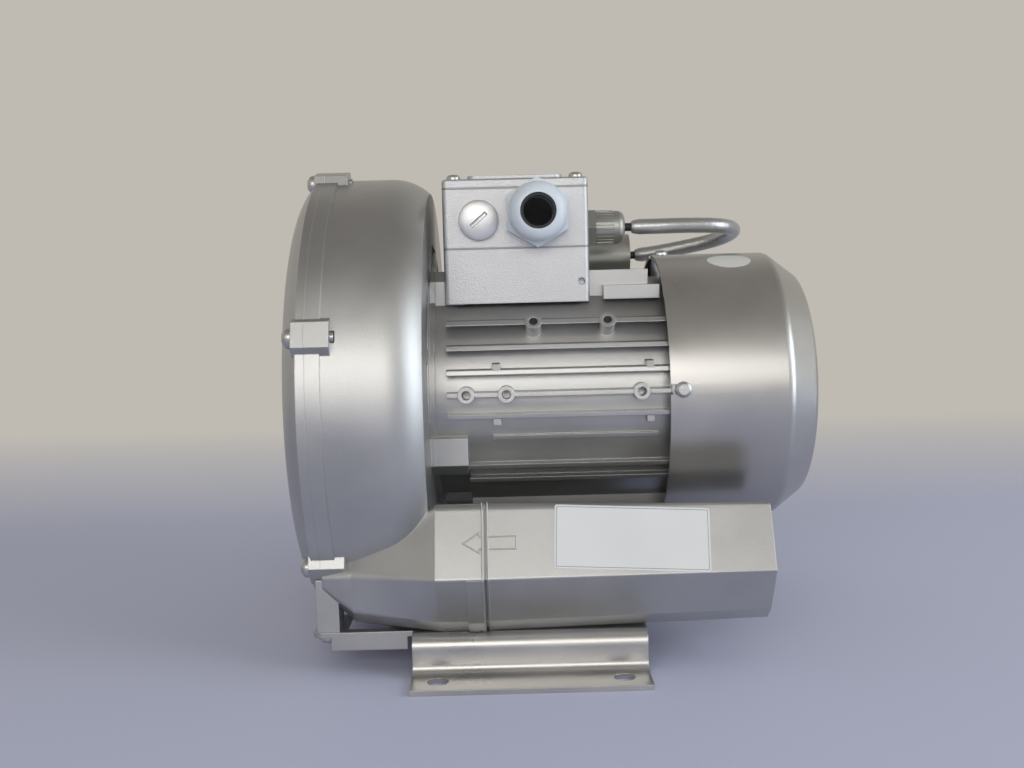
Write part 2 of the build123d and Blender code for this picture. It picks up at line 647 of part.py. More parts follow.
def cooling_fan():
    """Radial fan: hub, back disc and straight blades."""
    fan = turned((FAN_X, SHAFT_FAN_R), (FAN_X, FAN_R - 3), (FAN_X + 2, FAN_R - 3),
                 (FAN_X + 2, 13), (FAN_X + FAN_WIDTH - 4, 11), (FAN_X + FAN_WIDTH - 4, SHAFT_FAN_R))
    plane = Plane(origin=(0, 1, AXIS_HEIGHT), x_dir=(1, 0, 0), z_dir=(0, -1, 0))
    outline = ((FAN_X + 1, 10), (FAN_X + 1, FAN_R), (FAN_X + FAN_WIDTH - 8, FAN_R),
               (FAN_X + FAN_WIDTH, FAN_R - 14), (FAN_X + FAN_WIDTH, 30),
               (FAN_X + FAN_WIDTH - 6, 10))
    blade = extrude(plane * make_face(Polyline(*outline, close=True)), 2)
    for k in range(FAN_BLADES):
        fan += blade.rotate(SHAFT_LINE, k * 360 / FAN_BLADES)
    return fan


# ================================================================ motor housing
def fin(height, x0, x1, tip_r):
    """Horizontal fin on both sides of the frame."""
    z = AXIS_HEIGHT + height
    slab = block((x0, x1), (-tip_r, tip_r), (z - FIN_THICK / 2, z + FIN_THICK / 2))
    return slab & rod(x0, x1, tip_r)


def fin_boss(x, height, radius, start_r, end_r):
    """Round bar pointing straight out of the frame at a fin tip, -Y side."""
    angle = degrees(asin(height / FIN_R))
    place = Plane(origin=(x, -start_r, AXIS_HEIGHT), z_dir=(0, -1, 0))
    bar = extrude(place * Circle(radius), end_r - start_r)
    return about_shaft(bar, angle)


def frame_body(play=0.0):
    """Plain outside of the frame with its box pad and lugs, grown by play."""
    body = rod(MOTOR_FACE, FRAME_REAR, FRAME_ROOT_R + play)
    body += block((BOX_X[0] + BOX_WALL + PAD_INSET - play, TOP_PAD_END + play),
                  (-TOP_PAD_Y - play, TOP_PAD_Y + play), (AXIS_HEIGHT, TOP_PAD_Z))
    for quarter in range(4):
        lug = motor_lug(MOTOR_FACE, MOTOR_FACE + LUG_LENGTH + play, play)
        body += about_shaft(lug, quarter * 90)
    return body


def motor_frame():
    """Finned frame with lugs, box pad, tapped bosses and the stator bore."""
    frame = frame_body()
    for height in FIN_HEIGHTS:
        frame += fin(height, FIN_START, FRAME_REAR, FIN_R)
    for height in LOW_FIN_HEIGHTS:
        frame += fin(height, LOW_FIN_START, FRAME_REAR, FIN_R)
    frame += fin(RIDGE_HEIGHT, *RIDGE_SPAN, RIDGE_R)
    reach = BOTTOM_FIN_PITCH * (BOTTOM_FIN_COUNT - 1) / 2
    for k in range(BOTTOM_FIN_COUNT):
        y = k * BOTTOM_FIN_PITCH - reach
        slab = block((FIN_START, FRAME_REAR), (y - FIN_THICK / 2, y + FIN_THICK / 2),
                     (AXIS_HEIGHT - FIN_R, AXIS_HEIGHT - FRAME_BORE_R - 2))
        frame += slab & rod(FIN_START, FRAME_REAR, FIN_R)
    frame -= ring_sector(MOTOR_FACE, MOTOR_FACE + LUG_LENGTH, BOLT_ACCESS_R, FIN_R + 2, *BOLT_ACCESS)
    frame += block(SIDE_PAD, (-SIDE_PAD_Y, SIDE_PAD_Y), SIDE_PAD_Z)
    for x, height in FIN_BOSSES:
        boss = fin_boss(x, height, FIN_BOSS_R, FRAME_ROOT_R - 2, FIN_R + 0.6)
        hole = fin_boss(x, height, FIN_BOSS_HOLE / 2, FRAME_ROOT_R - 2, FIN_R + 0.6)
        frame += both_sides(boss)
        frame -= both_sides(hole)
    for x, height in FIN_LUGS:
        z = AXIS_HEIGHT + height
        lug = block((x - FIN_LUG / 2, x + FIN_LUG / 2), (-FIN_R + 1.8, -FRAME_ROOT_R + 3),
                    (z - FIN_LUG / 2, z + FIN_LUG / 2))
        frame += both_sides(lug)
    for quarter in range(4):
        angle = COWL_SCREW_ANGLE + quarter * 90
        place = Plane(origin=(COWL_SCREW_X, -FRAME_ROOT_R + 2, AXIS_HEIGHT), z_dir=(0, -1, 0))
        reach = COWL_R - COWL_SHEET - FRAME_ROOT_R + 2
        boss = extrude(place * Circle(COWL_BOSS_R), reach)
        boss &= rod(COWL_FRONT, COWL_TAPER_X, COWL_R - COWL_SHEET - RUNNING_FIT)
        frame += about_shaft(boss, angle)
        frame -= about_shaft(extrude(place * Circle(COWL_SCREW / 2), reach), angle)
    frame -= rod(MOTOR_FACE, FRAME_REAR, FRAME_BORE_R)
    frame -= motor_bolt_bars(MOTOR_FACE, MOTOR_FACE + LUG_LENGTH - 3, MOTOR_BOLT / 2)
    frame -= upright(AXIS_HEIGHT, TOP_PAD_Z, CABLE_HOLE_R, BOX_MID_X, 0)
    return frame


def motor_bolts():
    """Socket screws from the impeller chamber into the motor lugs."""
    bolts = []
    heads = motor_bolt_bars(CHAMBER_REAR + 0.4, CHAMBER_REAR + MOTOR_BOLT, MOTOR_BOLT * 0.8)
    shanks = motor_bolt_bars(CHAMBER_REAR + MOTOR_BOLT, MOTOR_FACE + LUG_LENGTH - 4, MOTOR_BOLT / 2)
    for head, shank in zip(heads, shanks):
        bolts.append(head + shank)
    return bolts


def front_end_shield():
    """Bearing carrier registered in the casing and in the frame bore."""
    start = FRONT_BEARING_X - 1.0
    seat_r, width = FRONT_BEARING
    shield = turned((start, SHAFT_SEAT_R + 1.5), (start, FRAME_BORE_R), (MOTOR_FACE + 5, FRAME_BORE_R),
                    (MOTOR_FACE + 5, FRAME_BORE_R - 4), (MOTOR_FACE, FRAME_BORE_R - 6),
                    (MOTOR_FACE, seat_r + 6), (FRONT_BEARING_X + width, seat_r + 5),
                    (FRONT_BEARING_X + width, SHAFT_SEAT_R + 1.5))
    return shield - rod(FRONT_BEARING_X, FRONT_BEARING_X + width, seat_r)


def rear_end_shield():
    """Rear bearing carrier on the frame end."""
    seat_r, width = REAR_BEARING
    end = FRAME_REAR + 6
    bearing_end = REAR_BEARING_X + width
    shield = turned((FRAME_REAR - 4, seat_r + 5), (FRAME_REAR - 4, FRAME_BORE_R),
                    (FRAME_REAR, FRAME_BORE_R), (FRAME_REAR, FRAME_ROOT_R), (end, FRAME_ROOT_R),
                    (end, seat_r + 6), (bearing_end + 4, seat_r + 4),
                    (bearing_end + 4, SHAFT_REAR_R + 0.6), (REAR_BEARING_X - 2, SHAFT_REAR_R + 0.6),
                    (REAR_BEARING_X - 2, seat_r + 5))
    return shield - rod(REAR_BEARING_X - 2, bearing_end + PRELOAD, seat_r)


def preload_washer():
    """Spring washer behind the rear bearing."""
    seat_r, width = REAR_BEARING
    start = REAR_BEARING_X + width
    return rod(start, start + PRELOAD, seat_r - 0.3, seat_r - 4)


# ================================================================ fan cowl
def fan_cowl():
    """Sheet cowl with a conical end, ring slots at the rear and slots for its screws."""
    front, rear = COWL_FRONT, COWL_REAR
    inner_taper_r = COWL_R - COWL_SHEET
    inner_rear_r = COWL_REAR_R - COWL_SHEET
    inner_taper_x = COWL_TAPER_X - COWL_SHEET / 3
    outline = shaft_section((front, inner_taper_r), (front, COWL_R), (COWL_TAPER_X, COWL_R),
                            (rear, COWL_REAR_R), (rear, 0), (rear - COWL_SHEET, 0),
                            (rear - COWL_SHEET, inner_rear_r), (inner_taper_x, inner_taper_r))
    bends = ((COWL_TAPER_X, COWL_R, COWL_BEND + COWL_SHEET), (rear, COWL_REAR_R, COWL_RIM_BEND + COWL_SHEET),
             (rear - COWL_SHEET, inner_rear_r, COWL_RIM_BEND), (inner_taper_x, inner_taper_r, COWL_BEND))
    outline = rounded(outline, [((x, 0, AXIS_HEIGHT + r), radius) for x, r, radius in bends])
    cowl = revolve(outline, axis=SHAFT_LINE)
    for k in range(GRILLE_SLOTS):
        r_in = 12 + k * (GRILLE_SLOT + GRILLE_BAR)
        for spoke in range(GRILLE_SPOKES):
            half_bar = degrees(asin(3.0 / (r_in + GRILLE_SLOT / 2)))
            pitch = 360 / GRILLE_SPOKES
            cowl -= ring_sector(rear - COWL_SHEET, rear, r_in, r_in + GRILLE_SLOT,
                                30 + spoke * pitch, pitch - 2 * half_bar)
    for quarter in range(4):
        place = Plane(origin=(COWL_SCREW_X, 0, AXIS_HEIGHT), z_dir=(0, -1, 0))
        slot = extrude(place * Circle(COWL_SCREW / 2 + HOLE_PLAY), COWL_R + 1)
        slot += block((COWL_FRONT, COWL_SCREW_X), (-COWL_R - 1, 0),
                      (AXIS_HEIGHT - COWL_SCREW / 2 - HOLE_PLAY,
                       AXIS_HEIGHT + COWL_SCREW / 2 + HOLE_PLAY))
        cowl -= about_shaft(slot, COWL_SCREW_ANGLE + quarter * 90)
    return cowl


def cowl_screws():
    """Pan head screws into the frame bosses."""
    place = Plane(origin=(COWL_SCREW_X, -COWL_R, AXIS_HEIGHT), z_dir=(0, 1, 0))
    screw = place * pan_screw(7, COWL_SCREW, 3.6, 2.4)
    return [about_shaft(screw, COWL_SCREW_ANGLE + quarter * 90) for quarter in range(4)]


# ================================================================ terminal box
def box_ring(z0, z1, wall):
    """Rectangular wall ring of the terminal box."""
    width, depth = BOX_X[1] - BOX_X[0], 2 * BOX_Y
    outer = RectangleRounded(width, depth, BOX_CORNER)
    inner = RectangleRounded(width - 2 * wall, depth - 2 * wall, BOX_CORNER)
    return extrude(Pos(BOX_MID_X, 0, z0) * (outer - inner), z1 - z0)


def lid_screw_places():
    """Centres of the four lid screws."""
    reach_x = (BOX_X[1] - BOX_X[0]) / 2 - LID_SCREW_INSET
    reach_y = BOX_Y - LID_SCREW_INSET
    return [(BOX_MID_X + sx * reach_x, sy * reach_y) for sx in (-1, 1) for sy in (-1, 1)]


def terminal_box_base():
    """Lower tier: skirt round the frame pad, with a floor on the pad."""
    top = BOX_SPLIT
    width, depth = BOX_X[1] - BOX_X[0], 2 * BOX_Y
    base = box_ring(BOX_BOTTOM, top, BOX_WALL)
    floor = Rectangle(width - BOX_WALL, depth - BOX_WALL) - Circle(CABLE_HOLE_R)
    base += extrude(Pos(BOX_MID_X, 0, TOP_PAD_Z) * floor, BOX_FLOOR)
    for x, y in lid_screw_places():
        base += upright(TOP_PAD_Z, top, LID_PILLAR_R, x, y)
        base -= upright(top - LID_SCREW_GRIP - 2, top, LID_SCREW / 2, x, y)
    hole_x, hole_z = EARTH_HOLE
    place = Plane(origin=(hole_x, -BOX_Y, hole_z), z_dir=(0, 1, 0))
    base -= extrude(place * Circle(EARTH_HOLE_R), BOX_WALL)
    base -= clamp_screw_bar(BOX_Y - BOX_WALL, BOX_Y, CLAMP_SCREW / 2)
    return base - frame_body(HOLE_PLAY)


def terminal_box_body():
    """Upper tier with the cable entries."""
    body = box_ring(BOX_SPLIT + BOX_GASKET, BOX_TOP, BOX_WALL)
    for x, y in lid_screw_places():
        body += upright(BOX_SPLIT + BOX_GASKET, BOX_TOP, LID_PILLAR_R, x, y)
        body -= upright(BOX_SPLIT, BOX_TOP, LID_SCREW / 2 + HOLE_PLAY, x, y)
    for x, z, radius in ((GLAND_X, GLAND_Z, GLAND_THREAD / 2), (PLUG_X, PLUG_Z, PLUG_THREAD / 2)):
        place = Plane(origin=(x, -BOX_Y, z), z_dir=(0, 1, 0))
        body -= extrude(place * Circle(radius), BOX_WALL)
    body -= rod(BOX_X[1] - BOX_WALL, BOX_X[1], SIDE_GLAND_THREAD / 2, y=SIDE_GLAND_Y, z=SIDE_GLAND_Z)
    return body


def terminal_box_lid():
    """Lid with a raised middle."""
    width, depth = BOX_X[1] - BOX_X[0], 2 * BOX_Y
    low = BOX_TOP + BOX_GASKET
    high = BOX_TOP + LID_THICK
    lid = extrude(Pos(BOX_MID_X, 0, low) * RectangleRounded(width, depth, BOX_CORNER), high - low)
    lid = chamfer(lid.faces().sort_by(Axis.Z)[-1].edges(), 0.8)
    raised = RectangleRounded(width - 4.4 * LID_SCREW_INSET, depth - 4, 4)
    lid += extrude(Pos(BOX_MID_X, 0, high) * raised, LID_RAISE)
    for x, y in lid_screw_places():
        lid -= upright(low, high, LID_SCREW / 2 + HOLE_PLAY, x, y)
    return lid


def box_seal(z0):
    """Flat gasket on a box rim."""
    seal = box_ring(z0, z0 + BOX_GASKET, BOX_WALL - 0.6)
    for x, y in lid_screw_places():
        seal += upright(z0, z0 + BOX_GASKET, LID_PILLAR_R, x, y)
        seal -= upright(z0, z0 + BOX_GASKET, LID_SCREW / 2 + HOLE_PLAY, x, y)
    return seal


def lid_screws():
    """Long screws through lid and body into the base."""
    high = BOX_TOP + LID_THICK
    length = high - BOX_SPLIT + LID_SCREW_GRIP
    screw = Rot(180, 0, 0) * pan_screw(length, LID_SCREW, 3.3, 2.4)
    return [Pos(x, y, high) * screw for x, y in lid_screw_places()]


def terminal_block():
    """Moulded block with six stud seats, on the base floor."""
    low = TOP_PAD_Z + BOX_FLOOR
    high = low + TERMINAL_HEIGHT
    half = TERMINAL_PITCH * TERMINAL_COUNT / 2 + 2
    span = (BOX_MID_X + TERMINAL_X[0], BOX_MID_X + TERMINAL_X[1])
    body = block(span, (-half, half), (low, high))
    for k in range(TERMINAL_COUNT - 1):
        y = (k - (TERMINAL_COUNT - 2) / 2) * TERMINAL_PITCH
        body += block(span, (y - 1, y + 1), (high, high + TERMINAL_WALL))
    return body


def terminal_studs():
    """Stud with nut at every terminal."""
    x = BOX_MID_X + sum(TERMINAL_X) / 2
    studs = []
    for k in range(TERMINAL_COUNT):
        y = (k - (TERMINAL_COUNT - 1) / 2) * TERMINAL_PITCH
        place = Pos(x, y, TOP_PAD_Z + BOX_FLOOR + TERMINAL_HEIGHT)
        studs.append(place * (hexagon(7, 3.2) + Pos(0, 0, 4) * Cylinder(2, 8)))
    return studs


# ================================================================ glands, plug, capacitor
def gland(thread, across_flats, bore, hex_depth, nut_depth):
    """Cable gland along +Z from the wall at z = 0: body, cap nut and rubber seal."""
    outer_r = across_flats * 0.48
    body = hexagon(across_flats, hex_depth) + Pos(0, 0, -BOX_WALL) * extrude(Circle(thread / 2), BOX_WALL)
    neck_r = outer_r - 3
    body += extrude(Pos(0, 0, hex_depth) * Circle(neck_r), nut_depth * 0.5)
    body -= Pos(0, 0, -BOX_WALL) * extrude(Circle(bore / 2), 60)
    collar = nut_depth * 0.5
    nut = extrude(Pos(0, 0, hex_depth) * Circle(outer_r), nut_depth)
    nut = fillet(nut.faces().sort_by(Axis.Z)[-1].edges(), min(nut_depth * 0.4, outer_r * 0.45))
    nut -= Pos(0, 0, hex_depth) * extrude(Circle(neck_r), collar)
    nut -= extrude(Circle(bore / 2 + 1), 60)
    seal = extrude(Pos(0, 0, hex_depth + collar) * (Circle(bore / 2 + 1) - Circle(bore / 2 - 0.4)),
                   nut_depth - collar - 1)
    return body, nut, seal


def cable_gland():
    """Supply cable gland on the -Y wall."""
    place = Plane(origin=(GLAND_X, -BOX_Y, GLAND_Z), x_dir=(0, 0, 1), z_dir=(0, -1, 0))
    return [place * piece for piece in gland(GLAND_THREAD, GLAND_AF, GLAND_BORE, GLAND_HEX, GLAND_NUT)]


def capacitor_gland():
    """Small gland on the +X wall for the capacitor lead."""
    place = Plane(origin=(BOX_X[1], SIDE_GLAND_Y, SIDE_GLAND_Z), x_dir=(0, 1, 0), z_dir=(1, 0, 0))
    pieces = gland(SIDE_GLAND_THREAD, SIDE_GLAND_AF, 2 * LEAD_R + 0.8, SIDE_GLAND_HEX,
                   SIDE_GLAND_NUT)
    return [place * piece for piece in pieces]


def blanking_plug():
    """Slotted plug in the spare cable entry."""
    place = Plane(origin=(PLUG_X, -BOX_Y, PLUG_Z), x_dir=(1, 0, 0), z_dir=(0, -1, 0))
    head = extrude(Circle(PLUG_R), 4.0)
    head = fillet(head.faces().sort_by(Axis.Z)[-1].edges(), 1.2)
    head -= Pos(0, 0, 2.8) * Rot(0, 0, 50) * extrude(Rectangle(13, 3), 2)
    return place * (head + Pos(0, 0, -BOX_WALL) * extrude(Circle(8), BOX_WALL))


def capacitor():
    """Round can with a crimped rim and a moulded end."""
    start, end = CAP_X
    can = turned((start, 0), (start, CAP_R - 1), (start + 1, CAP_R), (end - 3, CAP_R),
                 (end - 3, CAP_R - 0.6), (end, CAP_R - 0.6), (end, 0))
    return Pos(0, CAP_Y, CAP_Z - AXIS_HEIGHT) * can


def capacitor_clamp():
    """Band round the can with a foot on the +Y wall of the box."""
    x0, x1 = CLAMP_X - CLAMP_WIDTH / 2, CLAMP_X + CLAMP_WIDTH / 2
    low = CAP_Z - CAP_R
    clamp = rod(x0, x1, CAP_R + CLAMP_SHEET, CAP_R, y=CAP_Y, z=CAP_Z)
    clamp += block((x0, x1), (BOX_Y, BOX_Y + CLAMP_SHEET), (low - CLAMP_DROP - 4, CAP_Z))
    clamp += block((x0, x1), (BOX_Y, CAP_Y), (low - CLAMP_SHEET, low))
    clamp -= rod(x0, x1, CAP_R, y=CAP_Y, z=CAP_Z)
    return clamp - clamp_screw_bar(BOX_Y, BOX_Y + CLAMP_SHEET, CLAMP_SCREW / 2 + HOLE_PLAY)


def clamp_screw_bar(y0, y1, radius):
    """Round bar along Y at the clamp screw."""
    place = Plane(origin=(CLAMP_X, y0, CAP_Z - CAP_R - CLAMP_DROP), z_dir=(0, 1, 0))
    return extrude(place * Circle(radius), y1 - y0)


# Route of the capacitor lead, gland to capacitor end.
LEAD_ROUTE = [(LEAD_START, SIDE_GLAND_Y, SIDE_GLAND_Z), (70, SIDE_GLAND_Y, SIDE_GLAND_Z),
              (88, 9.5, 204.6), (109, 13, 204.0), (119, 30, 202.0), (113, 50, 197.5),
              (90, CAP_Y, 193.0), (CAP_X[1] + 8, CAP_Y, CAP_Z), (CAP_X[1], CAP_Y, CAP_Z)]


def lead_path(route):
    """Straight runs joined by tangent arcs, each as large as its two runs allow."""
    radii = []
    for before, corner, after in zip(route, route[1:], route[2:]):
        run_in, run_out = Vector(*corner) - Vector(*before), Vector(*after) - Vector(*corner)
        turn = radians(run_in.get_angle(run_out))
        radii.append(0.45 * min(run_in.length, run_out.length) / tan(turn / 2))
    return FilletPolyline(*route, radius=radii), radii


def swept(path, outer, inner=0.0):
    """Round section swept along a path."""
    section = Circle(outer) - Circle(inner) if inner else Circle(outer)
    start = Plane(origin=path @ 0, z_dir=path % 0)
    return sweep(start * section, path=path)


def trimmed(path, start, end):
    """The part of a path between two lengths along it."""
    return path.trim(start / path.length, end / path.length)


# ================================================================ silencers
def silencer_screw_bars(z0, z1, radius):
    """Round bars at the two silencer screws, -Y side."""
    return [upright(z0, z1, radius, x, -SILENCER_SCREW_Y) for x in SILENCER_SCREWS_X]


def drafted(face, length):
    """Prism along +X that narrows with the silencer draft."""
    return extrude(face, length, taper=SILENCER_DRAFT)


def silencer():
    """Silencer housing on the -Y side: open at the seam, threaded port at the rear."""
    start = SEAM_X + SEAL_THICK
    length = SILENCER_END - start
    housing = drafted(duct_outside(start), length)
    inner = offset(duct_face(start), -SILENCER_WALL, kind=Kind.INTERSECTION)
    hollow = drafted(inner, length - SILENCER_WALL)
    boss = rod(SILENCER_END - PORT_DEPTH, SILENCER_END, PORT_BOSS, y=-PORT_Y, z=PORT_Z)
    housing -= hollow - boss
    housing += silencer_screw_bars(WEB_TOP + SILENCER_WALL / 2, WEB_TOP + SCREW_PILLAR,
                                   SCREW_PILLAR_R)
    housing -= silencer_screw_bars(WEB_TOP, WEB_TOP + THREAD_GRIP, SILENCER_SCREW / 2)
    return housing - rod(SILENCER_END - PORT_DEPTH, SILENCER_END, PORT_THREAD / 2,
                         y=-PORT_Y, z=PORT_Z)


def silencer_liner():
    """Foam tube that lines the silencer."""
    start = SEAM_X + SEAL_THICK
    gap = SILENCER_WALL + HOLE_PLAY
    length = SILENCER_END - PORT_DEPTH - 1 - start
    outer = offset(duct_face(start), -gap, kind=Kind.INTERSECTION)
    liner = drafted(outer, length) - rod(start, start + length, LINER_BORE_R, y=-PORT_Y, z=PORT_Z)
    return liner - silencer_screw_bars(WEB_TOP, WEB_TOP + SCREW_PILLAR + HOLE_PLAY,
                                       SCREW_PILLAR_R + HOLE_PLAY)


def seam_seal():
    """Flat seal between duct and silencer."""
    outer = offset(duct_face(SEAM_X), -SEAL_INSET, kind=Kind.INTERSECTION)
    inner = offset(duct_face(SEAM_X), -SILENCER_WALL, kind=Kind.INTERSECTION)
    return extrude(outer - inner, SEAL_THICK)


# ================================================================ foot plate
def foot_profile(x0, x1):
    """Hat section: web, upright walls and flanges, with its bends rounded."""
    half = [(0, WEB_TOP - SHEET), (FOOT_WALL_Y - SHEET, WEB_TOP - SHEET), (FOOT_WALL_Y - SHEET, 0),
            (FOOT_WIDTH / 2, 0), (FOOT_WIDTH / 2, SHEET), (FOOT_WALL_Y, SHEET),
            (FOOT_WALL_Y, WEB_TOP), (0, WEB_TOP)]
    side = extrude(section_yz(half, x0), x1 - x0)
    for y, z, radius in ((FOOT_WALL_Y, WEB_TOP, BEND + SHEET), (FOOT_WALL_Y, SHEET, BEND),
                         (FOOT_WALL_Y - SHEET, WEB_TOP - SHEET, BEND),
                         (FOOT_WALL_Y - SHEET, 0, BEND + SHEET)):
        corner = side.edges().filter_by(Axis.X).sort_by_distance((x0, y, z))[0]
        side = fillet(corner, radius)
    return side + mirror(side, about=Plane.XZ)


def base_plate():
    """Pressed foot plate: hat section with two arms forward to the casing legs."""
    x0, x1 = -FOOT_LENGTH / 2, FOOT_LENGTH / 2
    plate = foot_profile(x0, x1)
    plate -= block((x0, WEB_FRONT), (-ARM_INNER_Y, ARM_INNER_Y), (WEB_TOP - SHEET, WEB_TOP))
    web = (WEB_TOP - SHEET, WEB_TOP)
    arm = block((ARM_FRONT, x0), (-ARM_EDGE_Y, -ARM_INNER_Y), web)
    arm = fillet(arm.edges().filter_by(Axis.Z).group_by(Axis.X)[0], 5)
    arm -= block(ARM_WINDOW, (-ARM_EDGE_Y + ARM_STRIP, -ARM_INNER_Y), web)
    arm += block((ARM_LIP_FRONT, x0 - SHEET), (-ARM_EDGE_Y, -ARM_EDGE_Y + SHEET),
                 (WEB_TOP - SHEET - ARM_LIP, WEB_TOP))
    plate += both_sides(arm)
    for sx in (-1, 1):
        for sy in (-1, 1):
            plate -= upright(0, SHEET, FOOT_HOLE / 2, sx * FOOT_SPACING_X / 2,
                             sy * FOOT_SPACING_Y / 2)
    plate -= leg_screw_bars(*web, LEG_SCREW / 2 + HOLE_PLAY)
    for bar in silencer_screw_bars(*web, SILENCER_SCREW / 2 + HOLE_PLAY):
        plate -= both_sides(bar)
    return plate


def base_screws():
    """Screws from below into the casing legs and the silencers."""
    under = WEB_TOP - SHEET
    leg_y = (ARM_EDGE_Y + LEG_INNER_Y) / 2
    screws = []
    for x, y, size in ((LEG_SCREW_X, leg_y, LEG_SCREW),
                       (SILENCER_SCREWS_X[0], SILENCER_SCREW_Y, SILENCER_SCREW),
                       (SILENCER_SCREWS_X[1], SILENCER_SCREW_Y, SILENCER_SCREW)):
        for side in (-1, 1):
            screw = pan_screw(SHEET + THREAD_GRIP - 1, size, BASE_HEAD_R, BASE_HEAD)
            screws.append(Pos(x, side * y, under) * screw)
    return screws


# ================================================================ write the nodes
def write_blower():
    """Casing, cover, impeller and their fasteners."""
    save("blower_casing", blower_casing())
    save("side_channel_cover", side_channel_cover())
    save("cover_screws", *cover_screws())
    save("impeller", impeller())
    save("impeller_key", key_slot(*KEY_X))
    face = IMPELLER_FRONT - WASHER
    save("impeller_washer", rod(face, IMPELLER_FRONT, WASHER_R, HUB_SCREW / 2 + HOLE_PLAY))
    save("impeller_screw", impeller_screw())
    save("shaft_seal", rod(CHAMBER_REAR, CHAMBER_REAR + SEAL_WIDTH, SEAL_R,
                           SHAFT_SEAT_R + RUNNING_FIT))


def write_motor():
    """Frame, shields, electrical core, shaft, bearings, fan and cowl."""
    save("motor_frame", motor_frame())
    save("motor_bolts", *motor_bolts())
    save("front_end_shield", front_end_shield())
    save("rear_end_shield", rear_end_shield())
    save("stator_core", stator_core())
    save("stator_windings", *stator_windings())
    save("motor_shaft", motor_shaft())
    save("rotor_core", rotor_core())
    for name, x, size, bore in (("front_bearing", FRONT_BEARING_X, FRONT_BEARING, SHAFT_SEAT_R),
                                ("rear_bearing", REAR_BEARING_X, REAR_BEARING, SHAFT_REAR_R)):
        outer, inner, balls = bearing(x, *size, bore)
        save(name + "_outer_ring", outer)
        save(name + "_inner_ring", inner)
        save(name + "_balls", balls)
    save("preload_washer", preload_washer())
    save("cooling_fan", cooling_fan())
    save("fan_cowl", fan_cowl())
    save("cowl_screws", *cowl_screws())


def write_terminal_box():
    """Box tiers, seals, terminals, glands and plug."""
    save("terminal_box_base", terminal_box_base())
    save("terminal_box_gasket", box_seal(BOX_SPLIT))
    save("terminal_box_body", terminal_box_body())
    save("lid_gasket", box_seal(BOX_TOP))
    save("terminal_box_lid", terminal_box_lid())
    save("lid_screws", *lid_screws())
    save("terminal_block", terminal_block())
    save("terminal_studs", *terminal_studs())
    for name, pieces in (("cable_gland", cable_gland()), ("capacitor_gland", capacitor_gland())):
        for part, piece in zip(("body", "nut", "seal"), pieces):
            save(name + "_" + part, piece)
    save("blanking_plug", blanking_plug())


def write_capacitor():
    """Capacitor, clamp, lead and sleeve."""
    save("capacitor", capacitor())
    save("capacitor_clamp", capacitor_clamp())
    bar = clamp_screw_bar(BOX_Y - BOX_WALL, BOX_Y + CLAMP_SHEET, CLAMP_SCREW / 2)
    head = clamp_screw_bar(BOX_Y + CLAMP_SHEET, BOX_Y + CLAMP_SHEET + 2.4, CLAMP_SCREW * 0.9)
    save("clamp_screw", bar + head)
    path, radii = lead_path(LEAD_ROUTE)
    lead = swept(path, LEAD_R)
    sleeve_start = SIDE_GLAND_END - LEAD_START + SLEEVE_STUB
    sleeve = swept(trimmed(path, sleeve_start, path.length - SLEEVE_STUB), SLEEVE_R, LEAD_R)
    save("capacitor_lead", lead)
    save("lead_sleeve", sleeve)
    print("lead arcs", [round(radius, 1) for radius in radii], "length", round(path.length, 1))
    print("lead volume", round(lead.volume), "section x length",
          round(3.14159 * LEAD_R**2 * path.length))


def write_base():
    """Silencers and foot plate."""
    inlet, outlet = both_sides(silencer())
    save("inlet_silencer", inlet)
    save("outlet_silencer", outlet)
    inlet, outlet = both_sides(silencer_liner())
    save("inlet_silencer_liner", inlet)
    save("outlet_silencer_liner", outlet)
    save("silencer_seals", *both_sides(seam_seal()))
    save("base_plate", base_plate())
    save("base_screws", *base_screws())


write_blower()
write_motor()
write_terminal_box()
write_capacitor()
write_base()
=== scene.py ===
"""Looks of the side channel blower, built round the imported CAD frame. Metres, +Z up."""

import json
from math import cos, pi, radians, sin, tan

import bmesh
import bpy
from mathutils import Matrix, Vector


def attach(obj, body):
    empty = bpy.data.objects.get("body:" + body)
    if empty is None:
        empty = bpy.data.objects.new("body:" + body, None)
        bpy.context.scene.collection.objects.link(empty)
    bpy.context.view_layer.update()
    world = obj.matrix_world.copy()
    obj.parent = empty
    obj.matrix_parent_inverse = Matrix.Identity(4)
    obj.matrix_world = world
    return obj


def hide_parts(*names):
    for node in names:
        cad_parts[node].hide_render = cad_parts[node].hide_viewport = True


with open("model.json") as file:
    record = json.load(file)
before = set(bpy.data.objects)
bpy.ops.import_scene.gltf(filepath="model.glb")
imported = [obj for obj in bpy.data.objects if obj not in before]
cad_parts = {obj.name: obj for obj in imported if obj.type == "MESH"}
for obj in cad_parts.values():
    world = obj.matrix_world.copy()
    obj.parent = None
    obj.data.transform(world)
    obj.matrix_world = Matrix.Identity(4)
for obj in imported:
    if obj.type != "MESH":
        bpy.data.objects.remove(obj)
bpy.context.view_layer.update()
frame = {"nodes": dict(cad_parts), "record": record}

# ---------------------------------------------------------------- places taken from the part
SHAFT_Z = 0.1214
EAR_FRONT_X = -0.0994
EAR_SCREW_R = 0.1083
EAR_PHASE, EAR_COUNT = 19.0, 6
EAR_HEAD = (0.0044, 0.0041)          # radius, height
COWL_R = 0.0678
COWL_SCREW_X = 0.0742
COWL_SCREW_ANGLE, COWL_SCREW_COUNT = 4.2, 4
SMALL_HEAD = (0.0036, 0.0024)
LID_TOP = 0.2273
LID_HEAD = (0.0033, 0.0024)
LID_SCREWS = [(x, y) for x in (-0.031, 0.0281) for y in (-0.0342, 0.0342)]
SIDE_NUT_R = 0.00864
SIDE_NUT_X = (0.0405, 0.0500)
SIDE_GLAND_Y, SIDE_GLAND_Z = 0.008, 0.2042
SIDE_GLAND_END = 0.0557
